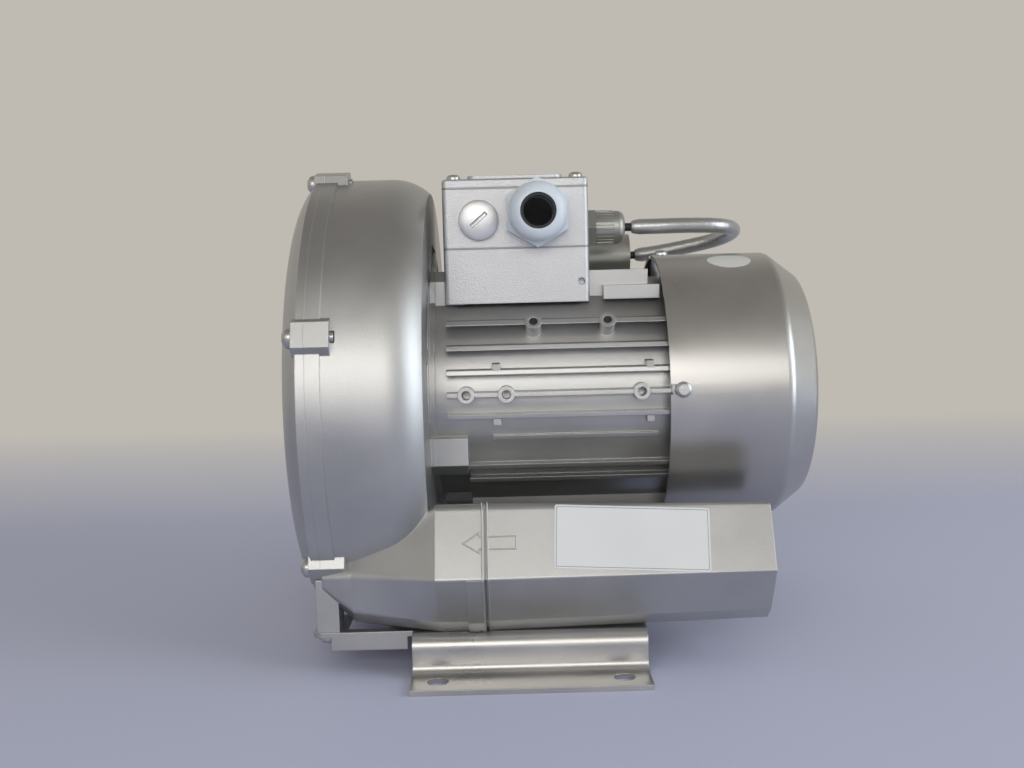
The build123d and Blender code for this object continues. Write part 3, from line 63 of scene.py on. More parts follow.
LEAD_ROUTE = [(0.0237, 0.008, 0.2042), (0.070, 0.008, 0.2042), (0.088, 0.0095, 0.2046),
              (0.109, 0.013, 0.2040), (0.119, 0.030, 0.2020), (0.113, 0.050, 0.1975),
              (0.090, 0.0546, 0.1930), (0.0706, 0.0546, 0.190), (0.0626, 0.0546, 0.190)]
LEAD_R, SLEEVE_R, SLEEVE_STUB = 0.0021, 0.0040, 0.0036
RIDGE = Vector((0, -0.1075, 0.0495))          # fold between the upper and lower outer faces
FACE_TOP = Vector((0, -0.0925, 0.0805))
SEAM_X = -0.0195
SILENCER_X = -0.0185
SILENCER_DRAFT = 1.2
PORT_Y, PORT_Z, PORT_R, PORT_END = 0.076, 0.049, 0.02095, 0.109

# ---------------------------------------------------------------- camera, fitted to the photograph
CAMERA_PLACE = Vector((-0.006814, -0.589623, 0.183755))
CAMERA_YAW, CAMERA_PITCH, CAMERA_ROLL = -0.178, 5.777, 1.44
CAMERA_LENS = 39.83


def add_camera():
    """Camera at the photograph's viewpoint."""
    data = bpy.data.cameras.new("camera")
    data.sensor_width = 36.0
    data.lens = CAMERA_LENS
    camera = bpy.data.objects.new("camera", data)
    turn = (Matrix.Rotation(radians(CAMERA_YAW), 3, "Z")
            @ Matrix.Rotation(radians(-CAMERA_PITCH), 3, "X")
            @ Matrix.Rotation(radians(CAMERA_ROLL), 3, "Y")
            @ Matrix.Rotation(radians(90), 3, "X"))
    camera.matrix_world = Matrix.Translation(CAMERA_PLACE) @ turn.to_4x4()
    bpy.context.scene.collection.objects.link(camera)
    bpy.context.scene.camera = camera


# ================================================================ material kit
def new_material(name):
    material = bpy.data.materials.new(name)
    material.use_nodes = True
    return material, material.node_tree.nodes, material.node_tree.links


def noise(nodes, links, coords, scale, detail=2.0):
    """Noise texture in the object's own metres."""
    node = nodes.new("ShaderNodeTexNoise")
    node.inputs["Scale"].default_value = scale
    node.inputs["Detail"].default_value = detail
    links.new(coords.outputs["Object"], node.inputs["Vector"])
    return node


def ramp(nodes, links, source, low, high, out_low, out_high):
    """Value that runs from out_low to out_high while its source runs from low to high."""
    node = nodes.new("ShaderNodeMapRange")
    node.inputs["From Min"].default_value = low
    node.inputs["From Max"].default_value = high
    node.inputs["To Min"].default_value = out_low
    node.inputs["To Max"].default_value = out_high
    links.new(source, node.inputs["Value"])
    return node


def mixed(nodes, links, factor, first, second):
    """Colour mix; first is a colour or a socket, second a colour."""
    node = nodes.new("ShaderNodeMix")
    node.data_type = "RGBA"
    links.new(factor, node.inputs["Factor"])
    if isinstance(first, tuple):
        node.inputs["A"].default_value = (*first, 1)
    else:
        links.new(first, node.inputs["A"])
    node.inputs["B"].default_value = (*second, 1)
    return node.outputs["Result"]


MOTTLE = (22, 420)                   # scales of the broad and the fine mottle
SPREAD = (0.3, 0.7)                  # noise values between which a mottle goes from dark to light
SPECKS = (0.45, 0.75)                # noise values between which a light speck comes up
WORN_LIT_EDGE = (0.985, 0.93)            # turn of the softened normal, as a cosine, where edges are lightened: paint wear and a painted highlight
TOP_SHADE_RISE = (0.55, 1.0)                  # upward share of the normal over which the painted shade on upward faces comes in
# grey-brown of the painted shade on upward faces, standing in for the dark ceiling they mirror
TOP_SHADE_TONE = (0.42, 0.41, 0.40)
GRAIN_HEIGHT = 0.0004


def surface(name, colour, metallic, roughness, variation=0.06, grain=(1100, 0.12), top_shade=0.0,
            wear_and_highlight=0.0, edge=0.0006, coat=0.0):
    """Finish with mottled colour and roughness, a fine grain, softened edges, painted shade on upward
    faces, and edges lightened by paint wear and a painted highlight.
    """
    material, nodes, links = new_material(name)
    shader = nodes["Principled BSDF"]
    shader.inputs["Metallic"].default_value = metallic
    shader.inputs["Coat Weight"].default_value = coat
    coords = nodes.new("ShaderNodeTexCoord")
    broad = noise(nodes, links, coords, MOTTLE[0], 3.0)
    fine = noise(nodes, links, coords, MOTTLE[1], 2.0)
    dark = tuple(c * (1 - variation * 2) for c in colour)
    light = tuple(min(1.0, c * (1 + variation)) for c in colour)
    blend = ramp(nodes, links, broad.outputs["Fac"], *SPREAD, 0.0, 1.0)
    tint = mixed(nodes, links, blend.outputs["Result"], dark, light)
    speck = ramp(nodes, links, fine.outputs["Fac"], *SPECKS, 0.0, variation * 2.5)
    tint = mixed(nodes, links, speck.outputs["Result"], tint, light)
    rounded = nodes.new("ShaderNodeBevel")
    rounded.samples = 4
    rounded.inputs["Radius"].default_value = edge
    geometry = nodes.new("ShaderNodeNewGeometry")
    # Edges lightened towards a brighter tone: partly paint wear, partly a painted highlight where edges
    # catch the light.
    if wear_and_highlight:
        turned = nodes.new("ShaderNodeVectorMath")
        turned.operation = "DOT_PRODUCT"
        links.new(rounded.outputs["Normal"], turned.inputs[0])
        links.new(geometry.outputs["Normal"], turned.inputs[1])
        worn_lit = ramp(nodes, links, turned.outputs["Value"], *WORN_LIT_EDGE, 0.0, wear_and_highlight)
        bright = tuple(min(1.0, c * 1.25) for c in colour)
        tint = mixed(nodes, links, worn_lit.outputs["Result"], tint, bright)
    # Painted shade: faces that point up are darkened towards a grey-brown, as if they mirrored a dark
    # ceiling.
    if top_shade:
        split = nodes.new("ShaderNodeSeparateXYZ")
        links.new(geometry.outputs["Normal"], split.inputs["Vector"])
        top_shaded = ramp(nodes, links, split.outputs["Z"], *TOP_SHADE_RISE, 0.0, top_shade)
        tint = mixed(nodes, links, top_shaded.outputs["Result"], tint, TOP_SHADE_TONE)
    links.new(tint, shader.inputs["Base Color"])
    rough = ramp(nodes, links, broad.outputs["Fac"], *SPREAD, roughness - 0.05, roughness + 0.06)
    links.new(rough.outputs["Result"], shader.inputs["Roughness"])
    peel = noise(nodes, links, coords, grain[0], 2.0)
    bump = nodes.new("ShaderNodeBump")
    bump.inputs["Strength"].default_value = grain[1]
    bump.inputs["Distance"].default_value = GRAIN_HEIGHT
    links.new(peel.outputs["Fac"], bump.inputs["Height"])
    links.new(rounded.outputs["Normal"], bump.inputs["Normal"])
    links.new(bump.outputs["Normal"], shader.inputs["Normal"])
    return material


SILVER = (0.50, 0.50, 0.495)
# In these finishes the edge lightening is paint wear plus a painted highlight, and the darkening of
# upward faces is painted shade.
paint = surface("silver_paint", SILVER, 0.90, 0.35, grain=(2400, 0.10), top_shade=0.06, wear_and_highlight=0.35)
cast_paint = surface("silver_cast_paint", SILVER, 0.90, 0.36, grain=(2400, 0.22), top_shade=0.06, wear_and_highlight=0.5)
sheet_paint = surface("silver_sheet_paint", (0.51, 0.50, 0.485), 0.90, 0.31, grain=(2600, 0.08), wear_and_highlight=0.3)
box_paint = surface("silver_box_paint", (0.58, 0.58, 0.59), 0.80, 0.42, grain=(1700, 0.42), wear_and_highlight=0.4)
seam_paint = surface("seam_paint", (0.30, 0.30, 0.30), 0.80, 0.42, grain=(2000, 0.2), edge=0.0002)
screw_paint = surface("screw_paint", (0.52, 0.52, 0.52), 0.90, 0.30, edge=0.0003)
plug_paint = surface("plug_paint", (0.80, 0.80, 0.81), 0.75, 0.36, grain=(2000, 0.25), edge=0.0003)
dull_paint = surface("gland_paint", (0.40, 0.40, 0.37), 0.75, 0.38, grain=(2600, 0.1), edge=0.0004)
sleeve_paint = surface("sleeve_paint", (0.52, 0.52, 0.515), 0.85, 0.32, grain=(1200, 0.25), edge=0.0003)
steel = surface("ground_steel", (0.60, 0.59, 0.57), 1.0, 0.28, edge=0.0002)
zinc = surface("zinc_plate", (0.62, 0.64, 0.66), 0.95, 0.32, edge=0.0003)
raw_casting = surface("raw_casting", (0.66, 0.66, 0.65), 0.9, 0.45, grain=(600, 0.3))
core_steel = surface("core_steel", (0.25, 0.25, 0.26), 0.8, 0.5, edge=0.0002)
copper = surface("varnished_copper", (0.48, 0.20, 0.08), 0.6, 0.35, edge=0.0003)
black_plastic = surface("black_plastic", (0.03, 0.03, 0.032), 0.0, 0.42, edge=0.0004)
gland_plastic = surface("gland_plastic", (0.70, 0.755, 0.80), 0.0, 0.34, variation=0.03,
                        grain=(900, 0.05), edge=0.0005, coat=0.15)
rubber = surface("black_rubber", (0.018, 0.018, 0.018), 0.0, 0.55, edge=0.0003)
foam = surface("foam", (0.10, 0.10, 0.105), 0.0, 0.95, grain=(500, 0.8), edge=0.0005)
plate_white = surface("label_film", (0.78, 0.78, 0.77), 0.0, 0.35, variation=0.02,
                      grain=(500, 0.04), edge=0.0001)
plate_line = surface("label_line", (0.30, 0.31, 0.32), 0.0, 0.4, variation=0.02, edge=0.0001)
sticker = surface("sticker_film", (0.72, 0.71, 0.67), 0.0, 0.38, variation=0.02, edge=0.0001)

FINISH = {
    "silver_paint": paint, "silver_casting": cast_paint, "silver_sleeve": sleeve_paint,
    "cast_aluminium": raw_casting, "machined_steel": steel, "zinc_steel": zinc,
    "lamination_steel": core_steel, "enamelled_copper": copper, "black_plastic": black_plastic,
    "grey_plastic": gland_plastic, "black_rubber": rubber, "foam": foam, "black_cable": rubber,
}
SPECIAL = {
    "blower_casing": cast_paint, "side_channel_cover": cast_paint, "motor_frame": cast_paint,
    "fan_cowl": sheet_paint, "base_plate": sheet_paint, "terminal_box_base": box_paint,
    "terminal_box_body": box_paint, "terminal_box_lid": box_paint, "capacitor": dull_paint,
    "capacitor_gland_body": dull_paint, "capacitor_gland_nut": dull_paint, "capacitor_clamp": dull_paint,
    "lead_sleeve": sleeve_paint, "capacitor_lead": dull_paint, "cover_screws": screw_paint,
    "cowl_screws": screw_paint, "lid_screws": screw_paint, "base_screws": screw_paint,
    "lid_gasket": seam_paint, "terminal_box_gasket": seam_paint, "silencer_seals": seam_paint,
}


def finish_nodes():
    """Give each CAD node its own finish, or else its slot's."""
    slots = {row["node"]: row["material_slot"] for row in frame["record"]["subparts"]}
    for name, node in frame["nodes"].items():
        material = SPECIAL.get(name) or FINISH[slots[name]]
        node.data.materials.clear()
        node.data.materials.append(material)


# ================================================================ stage and light
TABLE = (0.66, 0.68, 0.86)
TABLE_REACH = 6.0
TABLE_SHADE = 0.96                   # the table's darker patches
BACKDROP = (0.52, 0.495, 0.45)
CEILING = (0.50, 0.92)               # height in the sky where the backdrop turns into the ceiling
CEILING_TONE = (0.27, 0.25, 0.23)
FILL = (0.80, 0.42)                  # grey and strength of the light from all round
FADE = (0.25, 0.75)                  # where the table turns into the backdrop, behind the part
WINDOW = {"place": (1.5, -0.75, 0.45), "target": (0.02, 0, 0.11), "size": (1.0, 1.5), "power": 15,
          "colour": (0.84, 0.93, 1.0)}
ROOM = {"place": (-0.25, -2.2, 0.85), "target": (0, 0, 0.12), "size": (2.0, 0.9), "power": 16,
        "colour": (1.0, 0.985, 0.95)}


def seen_rays(nodes, links):
    """1 for camera, glossy and transmission rays."""
    path = nodes.new("ShaderNodeLightPath")
    total = path.outputs["Is Camera Ray"]
    for kind in ("Is Glossy Ray", "Is Transmission Ray"):
        added = nodes.new("ShaderNodeMath")
        added.operation = "MAXIMUM"
        links.new(total, added.inputs[0])
        links.new(path.outputs[kind], added.inputs[1])
        total = added.outputs["Value"]
    return total


def add_stage():
    """Pale table that fades into the backdrop behind the part."""
    mesh = bpy.data.meshes.new("floor")
    reach = TABLE_REACH
    mesh.from_pydata([(-reach, -reach, 0), (reach, -reach, 0), (reach, reach, 0), (-reach, reach, 0)],
                     [], [(0, 1, 2, 3)])
    floor = bpy.data.objects.new("floor", mesh)
    material, nodes, links = new_material("floor")
    shader = nodes["Principled BSDF"]
    shader.inputs["Roughness"].default_value = 0.55
    shader.inputs["Specular IOR Level"].default_value = 0.3
    coords = nodes.new("ShaderNodeTexCoord")
    weave = noise(nodes, links, coords, 3.0)
    tint = mixed(nodes, links, weave.outputs["Fac"], tuple(c * TABLE_SHADE for c in TABLE), TABLE)
    links.new(tint, shader.inputs["Base Color"])
    wall = nodes.new("ShaderNodeEmission")
    wall.inputs["Color"].default_value = (*BACKDROP, 1)
    split = nodes.new("ShaderNodeSeparateXYZ")
    links.new(coords.outputs["Object"], split.inputs["Vector"])
    far = ramp(nodes, links, split.outputs["Y"], *FADE, 0.0, 1.0)
    seen = nodes.new("ShaderNodeMath")
    seen.operation = "MULTIPLY"
    links.new(far.outputs["Result"], seen.inputs[0])
    links.new(seen_rays(nodes, links), seen.inputs[1])
    mix = nodes.new("ShaderNodeMixShader")
    links.new(seen.outputs["Value"], mix.inputs["Fac"])
    links.new(shader.outputs["BSDF"], mix.inputs[1])
    links.new(wall.outputs["Emission"], mix.inputs[2])
    links.new(mix.outputs["Shader"], nodes["Material Output"].inputs["Surface"])
    mesh.materials.append(material)
    bpy.context.scene.collection.objects.link(floor)


def add_world():
    """Soft fill light, with the backdrop's colour where it is seen or mirrored."""
    world = bpy.data.worlds.new("studio")
    bpy.context.scene.world = world
    world.use_nodes = True
    nodes, links = world.node_tree.nodes, world.node_tree.links
    grey, strength = FILL
    nodes["Background"].inputs["Color"].default_value = (grey, grey, grey, 1)
    nodes["Background"].inputs["Strength"].default_value = strength
    backdrop = nodes.new("ShaderNodeBackground")
    coords = nodes.new("ShaderNodeTexCoord")
    split = nodes.new("ShaderNodeSeparateXYZ")
    links.new(coords.outputs["Generated"], split.inputs["Vector"])
    high = ramp(nodes, links, split.outputs["Z"], *CEILING, 0.0, 1.0)
    links.new(mixed(nodes, links, high.outputs["Result"], BACKDROP, CEILING_TONE),
              backdrop.inputs["Color"])
    mix = nodes.new("ShaderNodeMixShader")
    links.new(seen_rays(nodes, links), mix.inputs["Fac"])
    links.new(nodes["Background"].outputs["Background"], mix.inputs[1])
    links.new(backdrop.outputs["Background"], mix.inputs[2])
    links.new(mix.outputs["Shader"], nodes["World Output"].inputs["Surface"])


def add_light(name, place, target, size, power, colour):
    """Area light that faces its target."""
    data = bpy.data.lights.new(name, "AREA")
    data.shape = "RECTANGLE"
    data.size, data.size_y = size
    data.energy = power
    data.color = colour
    light = bpy.data.objects.new(name, data)
    light.location = place
    light.rotation_euler = (Vector(target) - Vector(place)).to_track_quat("-Z", "Y").to_euler()
    bpy.context.scene.collection.objects.link(light)


# ================================================================ mesh kit
SOFTEN = 38                          # edges flatter than this are shaded smooth, in degrees


def link(name, faces, material, replaces=()):
    """Turn a bmesh into a piece that rides on the housing."""
    bmesh.ops.recalc_face_normals(faces, faces=faces.faces)
    mesh = bpy.data.meshes.new(name)
    faces.to_mesh(mesh)
    faces.free()
    mesh.materials.append(material)
    mesh.shade_smooth()
    mesh.set_sharp_from_angle(angle=radians(SOFTEN))
    piece = bpy.data.objects.new(name, mesh)
    bpy.context.scene.collection.objects.link(piece)
    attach(piece, "housing")
    if replaces:
        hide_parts(*replaces)


def skin(faces, rings):
    """Closed surface over rings of points, capped at both ends."""
    rows = [[faces.verts.new(point) for point in ring] for ring in rings]
    count = len(rows[0])
    for low, high in zip(rows, rows[1:]):
        for k in range(count):
            n = (k + 1) % count
            faces.faces.new((low[k], low[n], high[n], high[k]))
    faces.faces.new(rows[0])
    faces.faces.new(rows[-1])


def dome(faces, place, radius, ring_count, segments, rise_at):
    """Round piece on a flat base; rise_at gets a place in the unit circle."""
    circle = [(cos(2 * pi * k / segments), sin(2 * pi * k / segments)) for k in range(segments)]
    rings = [[place @ Vector((radius * x, radius * y, 0)) for x, y in circle]]
    for step in range(ring_count, 0, -1):
        part = step / ring_count
        rings.append([place @ Vector((radius * part * x, radius * part * y, rise_at(part * x, part * y)))
                      for x, y in circle])
    skin(faces, rings)


def about_shaft(angle):
    """Turn round the shaft line; a positive angle lifts the near side."""
    middle = Matrix.Translation((0, 0, SHAFT_Z))
    return middle @ Matrix.Rotation(radians(-angle), 4, "X") @ middle.inverted()


def facing(place, out):
    """Frame at a place with its Z along out."""
    return Matrix.Translation(place) @ Vector(out).to_track_quat("Z", "Y").to_matrix().to_4x4()


# ================================================================ screws
HEAD_RINGS, HEAD_SEGMENTS = 14, 56
HEAD_COVER = 0.00012                 # dome over the plain head of the part
RIM_RISE = 0.45                      # height of the head's edge, as a part of the whole
CROSS_WIDTH, CROSS_REACH, CROSS_DEPTH = 0.15, 0.62, 0.42   # in radii, and as a part of the height
CROSS_SLOPE = 2.2
EAR_TWIST, COWL_TWIST, LID_TWIST = 25, 20, 30              # turn from one screw to the next


def head_rise(x, y):
    """Height of a domed cross-recess head at a place in its unit circle."""
    rise = RIM_RISE + (1 - RIM_RISE) * (1 - min(1.0, x * x + y * y)) ** 0.5
    across, along = sorted((abs(x), abs(y)))
    if across < CROSS_WIDTH and along < CROSS_REACH:
        rise -= CROSS_DEPTH * min(1.0, CROSS_SLOPE * (CROSS_REACH - along) / CROSS_REACH)
    return rise


def domed_head(faces, place, size, twist):
    """Domed cross-recess head over a plain one."""
    radius, height = size[0] + HEAD_COVER, size[1] + HEAD_COVER
    turn = place @ Matrix.Rotation(radians(twist), 4, "Z")
    dome(faces, turn, radius, HEAD_RINGS, HEAD_SEGMENTS, lambda x, y: height * head_rise(x, y))


def add_screw_heads():
    """Heads of the ear, cowl and lid screws, each turned to its own angle."""
    ears = bmesh.new()
    for k in range(EAR_COUNT):
        place = facing((EAR_FRONT_X, -EAR_SCREW_R, SHAFT_Z), (-1, 0, 0))
        angle = EAR_PHASE + k * 360 / EAR_COUNT
        domed_head(ears, about_shaft(angle) @ place, EAR_HEAD, EAR_TWIST * k)
    link("ear_screw_heads", ears, screw_paint)
    cowl = bmesh.new()
    for k in range(COWL_SCREW_COUNT):
        place = facing((COWL_SCREW_X, -COWL_R, SHAFT_Z), (0, -1, 0))
        angle = COWL_SCREW_ANGLE + k * 360 / COWL_SCREW_COUNT
        domed_head(cowl, about_shaft(angle) @ place, SMALL_HEAD, COWL_TWIST * k)
    link("cowl_screw_heads", cowl, zinc)
    lid = bmesh.new()
    for k, (x, y) in enumerate(LID_SCREWS):
        domed_head(lid, facing((x, y, LID_TOP), (0, 0, 1)), LID_HEAD, LID_TWIST * k)
    link("lid_screw_heads", lid, screw_paint)


# ================================================================ marks on the ducts
def outer_face(x, rise, lift):
    """Place on the upper outer face of the near duct; rise runs up the slope from its fold."""
    slope = (FACE_TOP - RIDGE).normalized()
    out = Vector((0, -slope.z, slope.y))
    sink = tan(radians(SILENCER_DRAFT)) * max(0.0, x - SILENCER_X)
    return Vector((x, 0, 0)) + RIDGE + slope * rise + out * (lift - sink)


STRIP = ((-0.5, -0.3), (-0.28, 1.0), (0.28, 1.0), (0.5, -0.3))     # across in widths, up in heights
LEAST_TURN = 0.4                     # keeps a mitre from running out at a sharp corner
SINK = 0.0001                        # how far a flat piece reaches into what carries it


def ribbon(faces, line, width, height, place):
    """Raised strip with sloped sides along an open line of flat points."""
    rows = []
    for k, point in enumerate(line):
        here = Vector(point)
        before = (here - Vector(line[k - 1])).normalized() if k else None
        after = (Vector(line[k + 1]) - here).normalized() if k + 1 < len(line) else None
        along = ((before or after) + (after or before)).normalized()
        side = Vector((-along.y, along.x))
        stretch = 1 / max(LEAST_TURN, along.dot(after or before))
        row = []
        for offset, rise in STRIP:
            spot = here + side * offset * width * stretch
            row.append(place(spot.x, spot.y, rise * height))
        rows.append(row)
    skin(faces, rows)


ARROW_TIP = (-0.0286, 0.0163)
ARROW_BACK = -0.0215
ARROW_HALF, TAIL_HALF = 0.0046, 0.0028
TAIL_END = -0.0052
ARROW_LINE = (0.0008, 0.00028)       # width, height
ARROW_GAP = 0.0006                   # line ends beside the seam


def add_arrow():
    """Raised outline of a flow arrow: the head on the casing duct, the tail on the silencer."""
    mid = ARROW_TIP[1]
    head = [(SEAM_X - ARROW_GAP, mid + TAIL_HALF), (ARROW_BACK, mid + TAIL_HALF),
            (ARROW_BACK, mid + ARROW_HALF), ARROW_TIP, (ARROW_BACK, mid - ARROW_HALF),
            (ARROW_BACK, mid - TAIL_HALF), (SEAM_X - ARROW_GAP, mid - TAIL_HALF)]
    tail = [(SILENCER_X + ARROW_GAP, mid + TAIL_HALF), (TAIL_END, mid + TAIL_HALF),
            (TAIL_END, mid - TAIL_HALF), (SILENCER_X + ARROW_GAP, mid - TAIL_HALF)]
    faces = bmesh.new()
    ribbon(faces, head, *ARROW_LINE, outer_face)
    ribbon(faces, tail, *ARROW_LINE, outer_face)
    link("flow_arrow", faces, cast_paint)


SEAM_OUTLINE = ((-0.0700, 0.0742), (-0.0925, 0.0805), (-0.1075, 0.0495), (-0.0945, 0.0270),
                (-0.0860, 0.0202))
COLLAR = 0.0010                      # the casing side stands proud from the fold down
COLLAR_OUT = (0.87, 0.3)             # outward and downward share of that step
FOLD = 2                             # which point of the outline is the fold
BEAD_R, BEAD_SIDES, BEAD_STEP = 0.00042, 8, 0.0015
BEAD_OFF = 0.0007                    # from the edge of the seam
BEAD_UNEVEN, BEAD_WAVES = 0.25, (1.7, 0.61)
ALONG_SHAFT = Vector((1, 0, 0))


def divided(line, step):
    """The line's points with even ones between them, about a step apart."""
    fine = [line[0]]
    for before, after in zip(line, line[1:]):
        count = max(2, int((after - before).length / step))
        fine += [before.lerp(after, k / count) for k in range(1, count + 1)]
    return fine


def add_seam_beads():
    """Paint beads along both sides of the seam between the ducts and the silencers."""
    faces = bmesh.new()
    for side in (1, -1):
        for x, proud in ((SEAM_X - BEAD_OFF, COLLAR), (SILENCER_X + BEAD_OFF, 0.0)):
            line = []
            for k, (y, z) in enumerate(SEAM_OUTLINE):
                lift = proud if k >= FOLD else 0.0
                line.append(Vector((x, side * (y - lift * COLLAR_OUT[0]), z - lift * COLLAR_OUT[1])))
            fine = divided(line, BEAD_STEP)
            rings = []
            for k, spot in enumerate(fine):
                along = (fine[min(k + 1, len(fine) - 1)] - fine[max(k - 1, 0)]).normalized()
                out = along.cross(ALONG_SHAFT).normalized()
                uneven = BEAD_UNEVEN * sin(k * BEAD_WAVES[0]) * sin(k * BEAD_WAVES[1])
                radius = BEAD_R * (1 + uneven)
                turns = [2 * pi * j / BEAD_SIDES for j in range(BEAD_SIDES)]
                rings.append([spot + (ALONG_SHAFT * cos(turn) + out * sin(turn)) * radius
                              for turn in turns])
            skin(faces, rings)
    link("seam_beads", faces, paint)


PLATE_MIDDLE = (0.0462, 0.0172)
PLATE_SIZE = (0.0690, 0.0286)
PLATE_TURN = -2.6
PLATE_CORNER, CORNER_STEPS = 0.0010, 5
PLATE_THICK = 0.00025
BORDER_INSET = 0.0009
BORDER_LINE = (0.0003, 0.00003)      # width, height
LEAST_CORNER = 0.0002


def rounded_outline(size, corner, inset=0.0):
    """Points of a rounded rectangle about the origin."""
    half_x, half_y = size[0] / 2 - inset, size[1] / 2 - inset
    corner = max(corner - inset, LEAST_CORNER)
    points = []
    for quarter, (sx, sy) in enumerate(((1, 1), (-1, 1), (-1, -1), (1, -1))):
        for step in range(CORNER_STEPS):
            angle = radians(90 * (quarter + step / (CORNER_STEPS - 1)))
            points.append((sx * (half_x - corner) + corner * cos(angle),
                           sy * (half_y - corner) + corner * sin(angle)))
    return points


def plate_place(x, y, lift):
    """Place on the plate, which lies a little turned on the upper outer face."""
    turn = radians(PLATE_TURN)
    return outer_face(PLATE_MIDDLE[0] + x * cos(turn) - y * sin(turn),
                      PLATE_MIDDLE[1] + x * sin(turn) + y * cos(turn), lift)


def add_plate():
    """Blank rating plate with a thin border line; it carries no words."""
    faces = bmesh.new()
    outline = rounded_outline(PLATE_SIZE, PLATE_CORNER)
    skin(faces, [[plate_place(x, y, lift) for x, y in outline] for lift in (-SINK, PLATE_THICK)])
    link("blank_plate", faces, plate_white)
    faces = bmesh.new()
    border = rounded_outline(PLATE_SIZE, PLATE_CORNER, BORDER_INSET)
    ribbon(faces, border + border[:1], *BORDER_LINE,
           lambda x, y, lift: plate_place(x, y, lift + PLATE_THICK))
    link("plate_border", faces, plate_line)


STICKER_X, STICKER_ANGLE = 0.1045, 71.0
STICKER_HALF = (0.0108, 0.0088)      # along the shaft, round the cowl
STICKER_THICK, STICKER_SEGMENTS = 0.00018, 64
STICKER_RINGS = (1.0, 0.75, 0.4, 0.05)                     # in its half sizes, from the edge inwards


def add_sticker():
    """Blank oval sticker on the cowl; it carries no sign."""
    faces = bmesh.new()
    rings = []
    for part, lift in [(1.0, -SINK)] + [(part, STICKER_THICK) for part in STICKER_RINGS]:
        ring = []
        for k in range(STICKER_SEGMENTS):
            angle = 2 * pi * k / STICKER_SEGMENTS
            round_by = radians(STICKER_ANGLE) + part * STICKER_HALF[1] * sin(angle) / COWL_R
            radius = COWL_R + lift
            ring.append(Vector((STICKER_X + part * STICKER_HALF[0] * cos(angle),
                                -radius * cos(round_by), SHAFT_Z + radius * sin(round_by))))
        rings.append(ring)
    skin(faces, rings)
    link("blank_sticker", faces, sticker)


# ================================================================ plug, glands, ports
PLUG = Vector((-0.0192, -0.0398, 0.2076))
PLUG_R, PLUG_RIM, PLUG_RISE = 0.0096, 0.0026, 0.0018      # radius, height of the rim, dome above it
PLUG_CURVE = 0.7                     # 0.5 would be a round dome, more is flatter at the rim
PLUG_SLOT = (0.10, 0.52, 0.0024)     # half width and half length in radii, depth
PLUG_SLOT_TURN, PLUG_SLOT_EDGE = 40.0, 0.03
PLUG_RINGS, PLUG_SEGMENTS = 40, 120


def plug_rise(x, y):
    """Height of the domed plug at a place in its unit circle, with the driver slot."""
    rise = PLUG_RIM + PLUG_RISE * (1 - min(1.0, x * x + y * y)) ** PLUG_CURVE
    half_width, half_length, depth = PLUG_SLOT
    inside = min((half_width - abs(y)) / PLUG_SLOT_EDGE, (half_length - abs(x)) / PLUG_SLOT_EDGE)
    return rise - depth * min(1.0, max(0.0, inside))


def add_plug():
    """Domed blanking plug with a driver slot; its face carries no words."""
    faces = bmesh.new()
    place = facing(PLUG, (0, -1, 0)) @ Matrix.Rotation(radians(PLUG_SLOT_TURN), 4, "Z")
    dome(faces, place, PLUG_R, PLUG_RINGS, PLUG_SEGMENTS, plug_rise)
    link("domed_plug", faces, plug_paint, replaces=("blanking_plug",))


RIB_COUNT, RIB_WIDTH, RIB_HEIGHT = 26, 0.0009, 0.00035
RIB_RUN_IN, RIB_RUN_OUT = 0.0006, 0.0012                   # slopes at the two ends of a rib
RIB_LOW = (0.2, 0.1)                 # height left at those ends, in heights
RIB_FOOT, RIB_CREST = (0.5, -0.5), 0.28                    # foot: across and up; crest: across


def add_gland_ribs():
    """Grip ribs round the small gland's cap nut."""
    start, end = SIDE_NUT_X
    foot, base = RIB_FOOT
    faces = bmesh.new()
    for k in range(RIB_COUNT):
        angle = 2 * pi * k / RIB_COUNT
        rings = []
        for x, grow in ((start, RIB_LOW[0]), (start + RIB_RUN_IN, 1), (end - RIB_RUN_OUT, 1),
                        (end, RIB_LOW[1])):
            ring = []
            for side, rise in ((-foot, base), (-RIB_CREST, grow), (RIB_CREST, grow), (foot, base)):
                radius = SIDE_NUT_R + RIB_HEIGHT * rise
                turn = angle + side * RIB_WIDTH / SIDE_NUT_R
                y, z = SIDE_GLAND_Y + radius * sin(turn), SIDE_GLAND_Z + radius * cos(turn)
                ring.append(Vector((x, y, z)))
            rings.append(ring)
        skin(faces, rings)
    link("gland_ribs", faces, dull_paint)


THREAD_PITCH, THREAD_DEPTH, THREAD_TURNS = 0.00231, 0.0013, 6.6
THREAD_START = 0.0008                # behind the port's end face
THREAD_STEPS, THREAD_RUN_IN = 48, 16                       # steps in a turn, and in a run-in at each end
THREAD_PROFILE = ((-0.48, -0.1), (-0.08, 1), (0.08, 1), (0.48, -0.1))     # in pitches, in depths


def add_port_threads():
    """Helical thread ridge in both ports."""
    for name, side in (("inlet_thread", -1), ("outlet_thread", 1)):
        faces = bmesh.new()
        steps = int(THREAD_TURNS * THREAD_STEPS)
        rings = []
        for step in range(steps + 1):
            angle = 2 * pi * step / THREAD_STEPS
            run_in = min(1.0, step / THREAD_RUN_IN, (steps - step) / THREAD_RUN_IN)
            x = PORT_END - THREAD_START - THREAD_PITCH * (0.5 + step / THREAD_STEPS)
            ring = []
            for shift, rise in THREAD_PROFILE:
                radius = PORT_R - THREAD_DEPTH * (rise * run_in if rise > 0 else rise)
                ring.append(Vector((x + shift * THREAD_PITCH, side * PORT_Y + radius * sin(angle),
                                    PORT_Z + radius * cos(angle))))
            rings.append(ring)
        skin(faces, rings)
        link(name, faces, raw_casting)


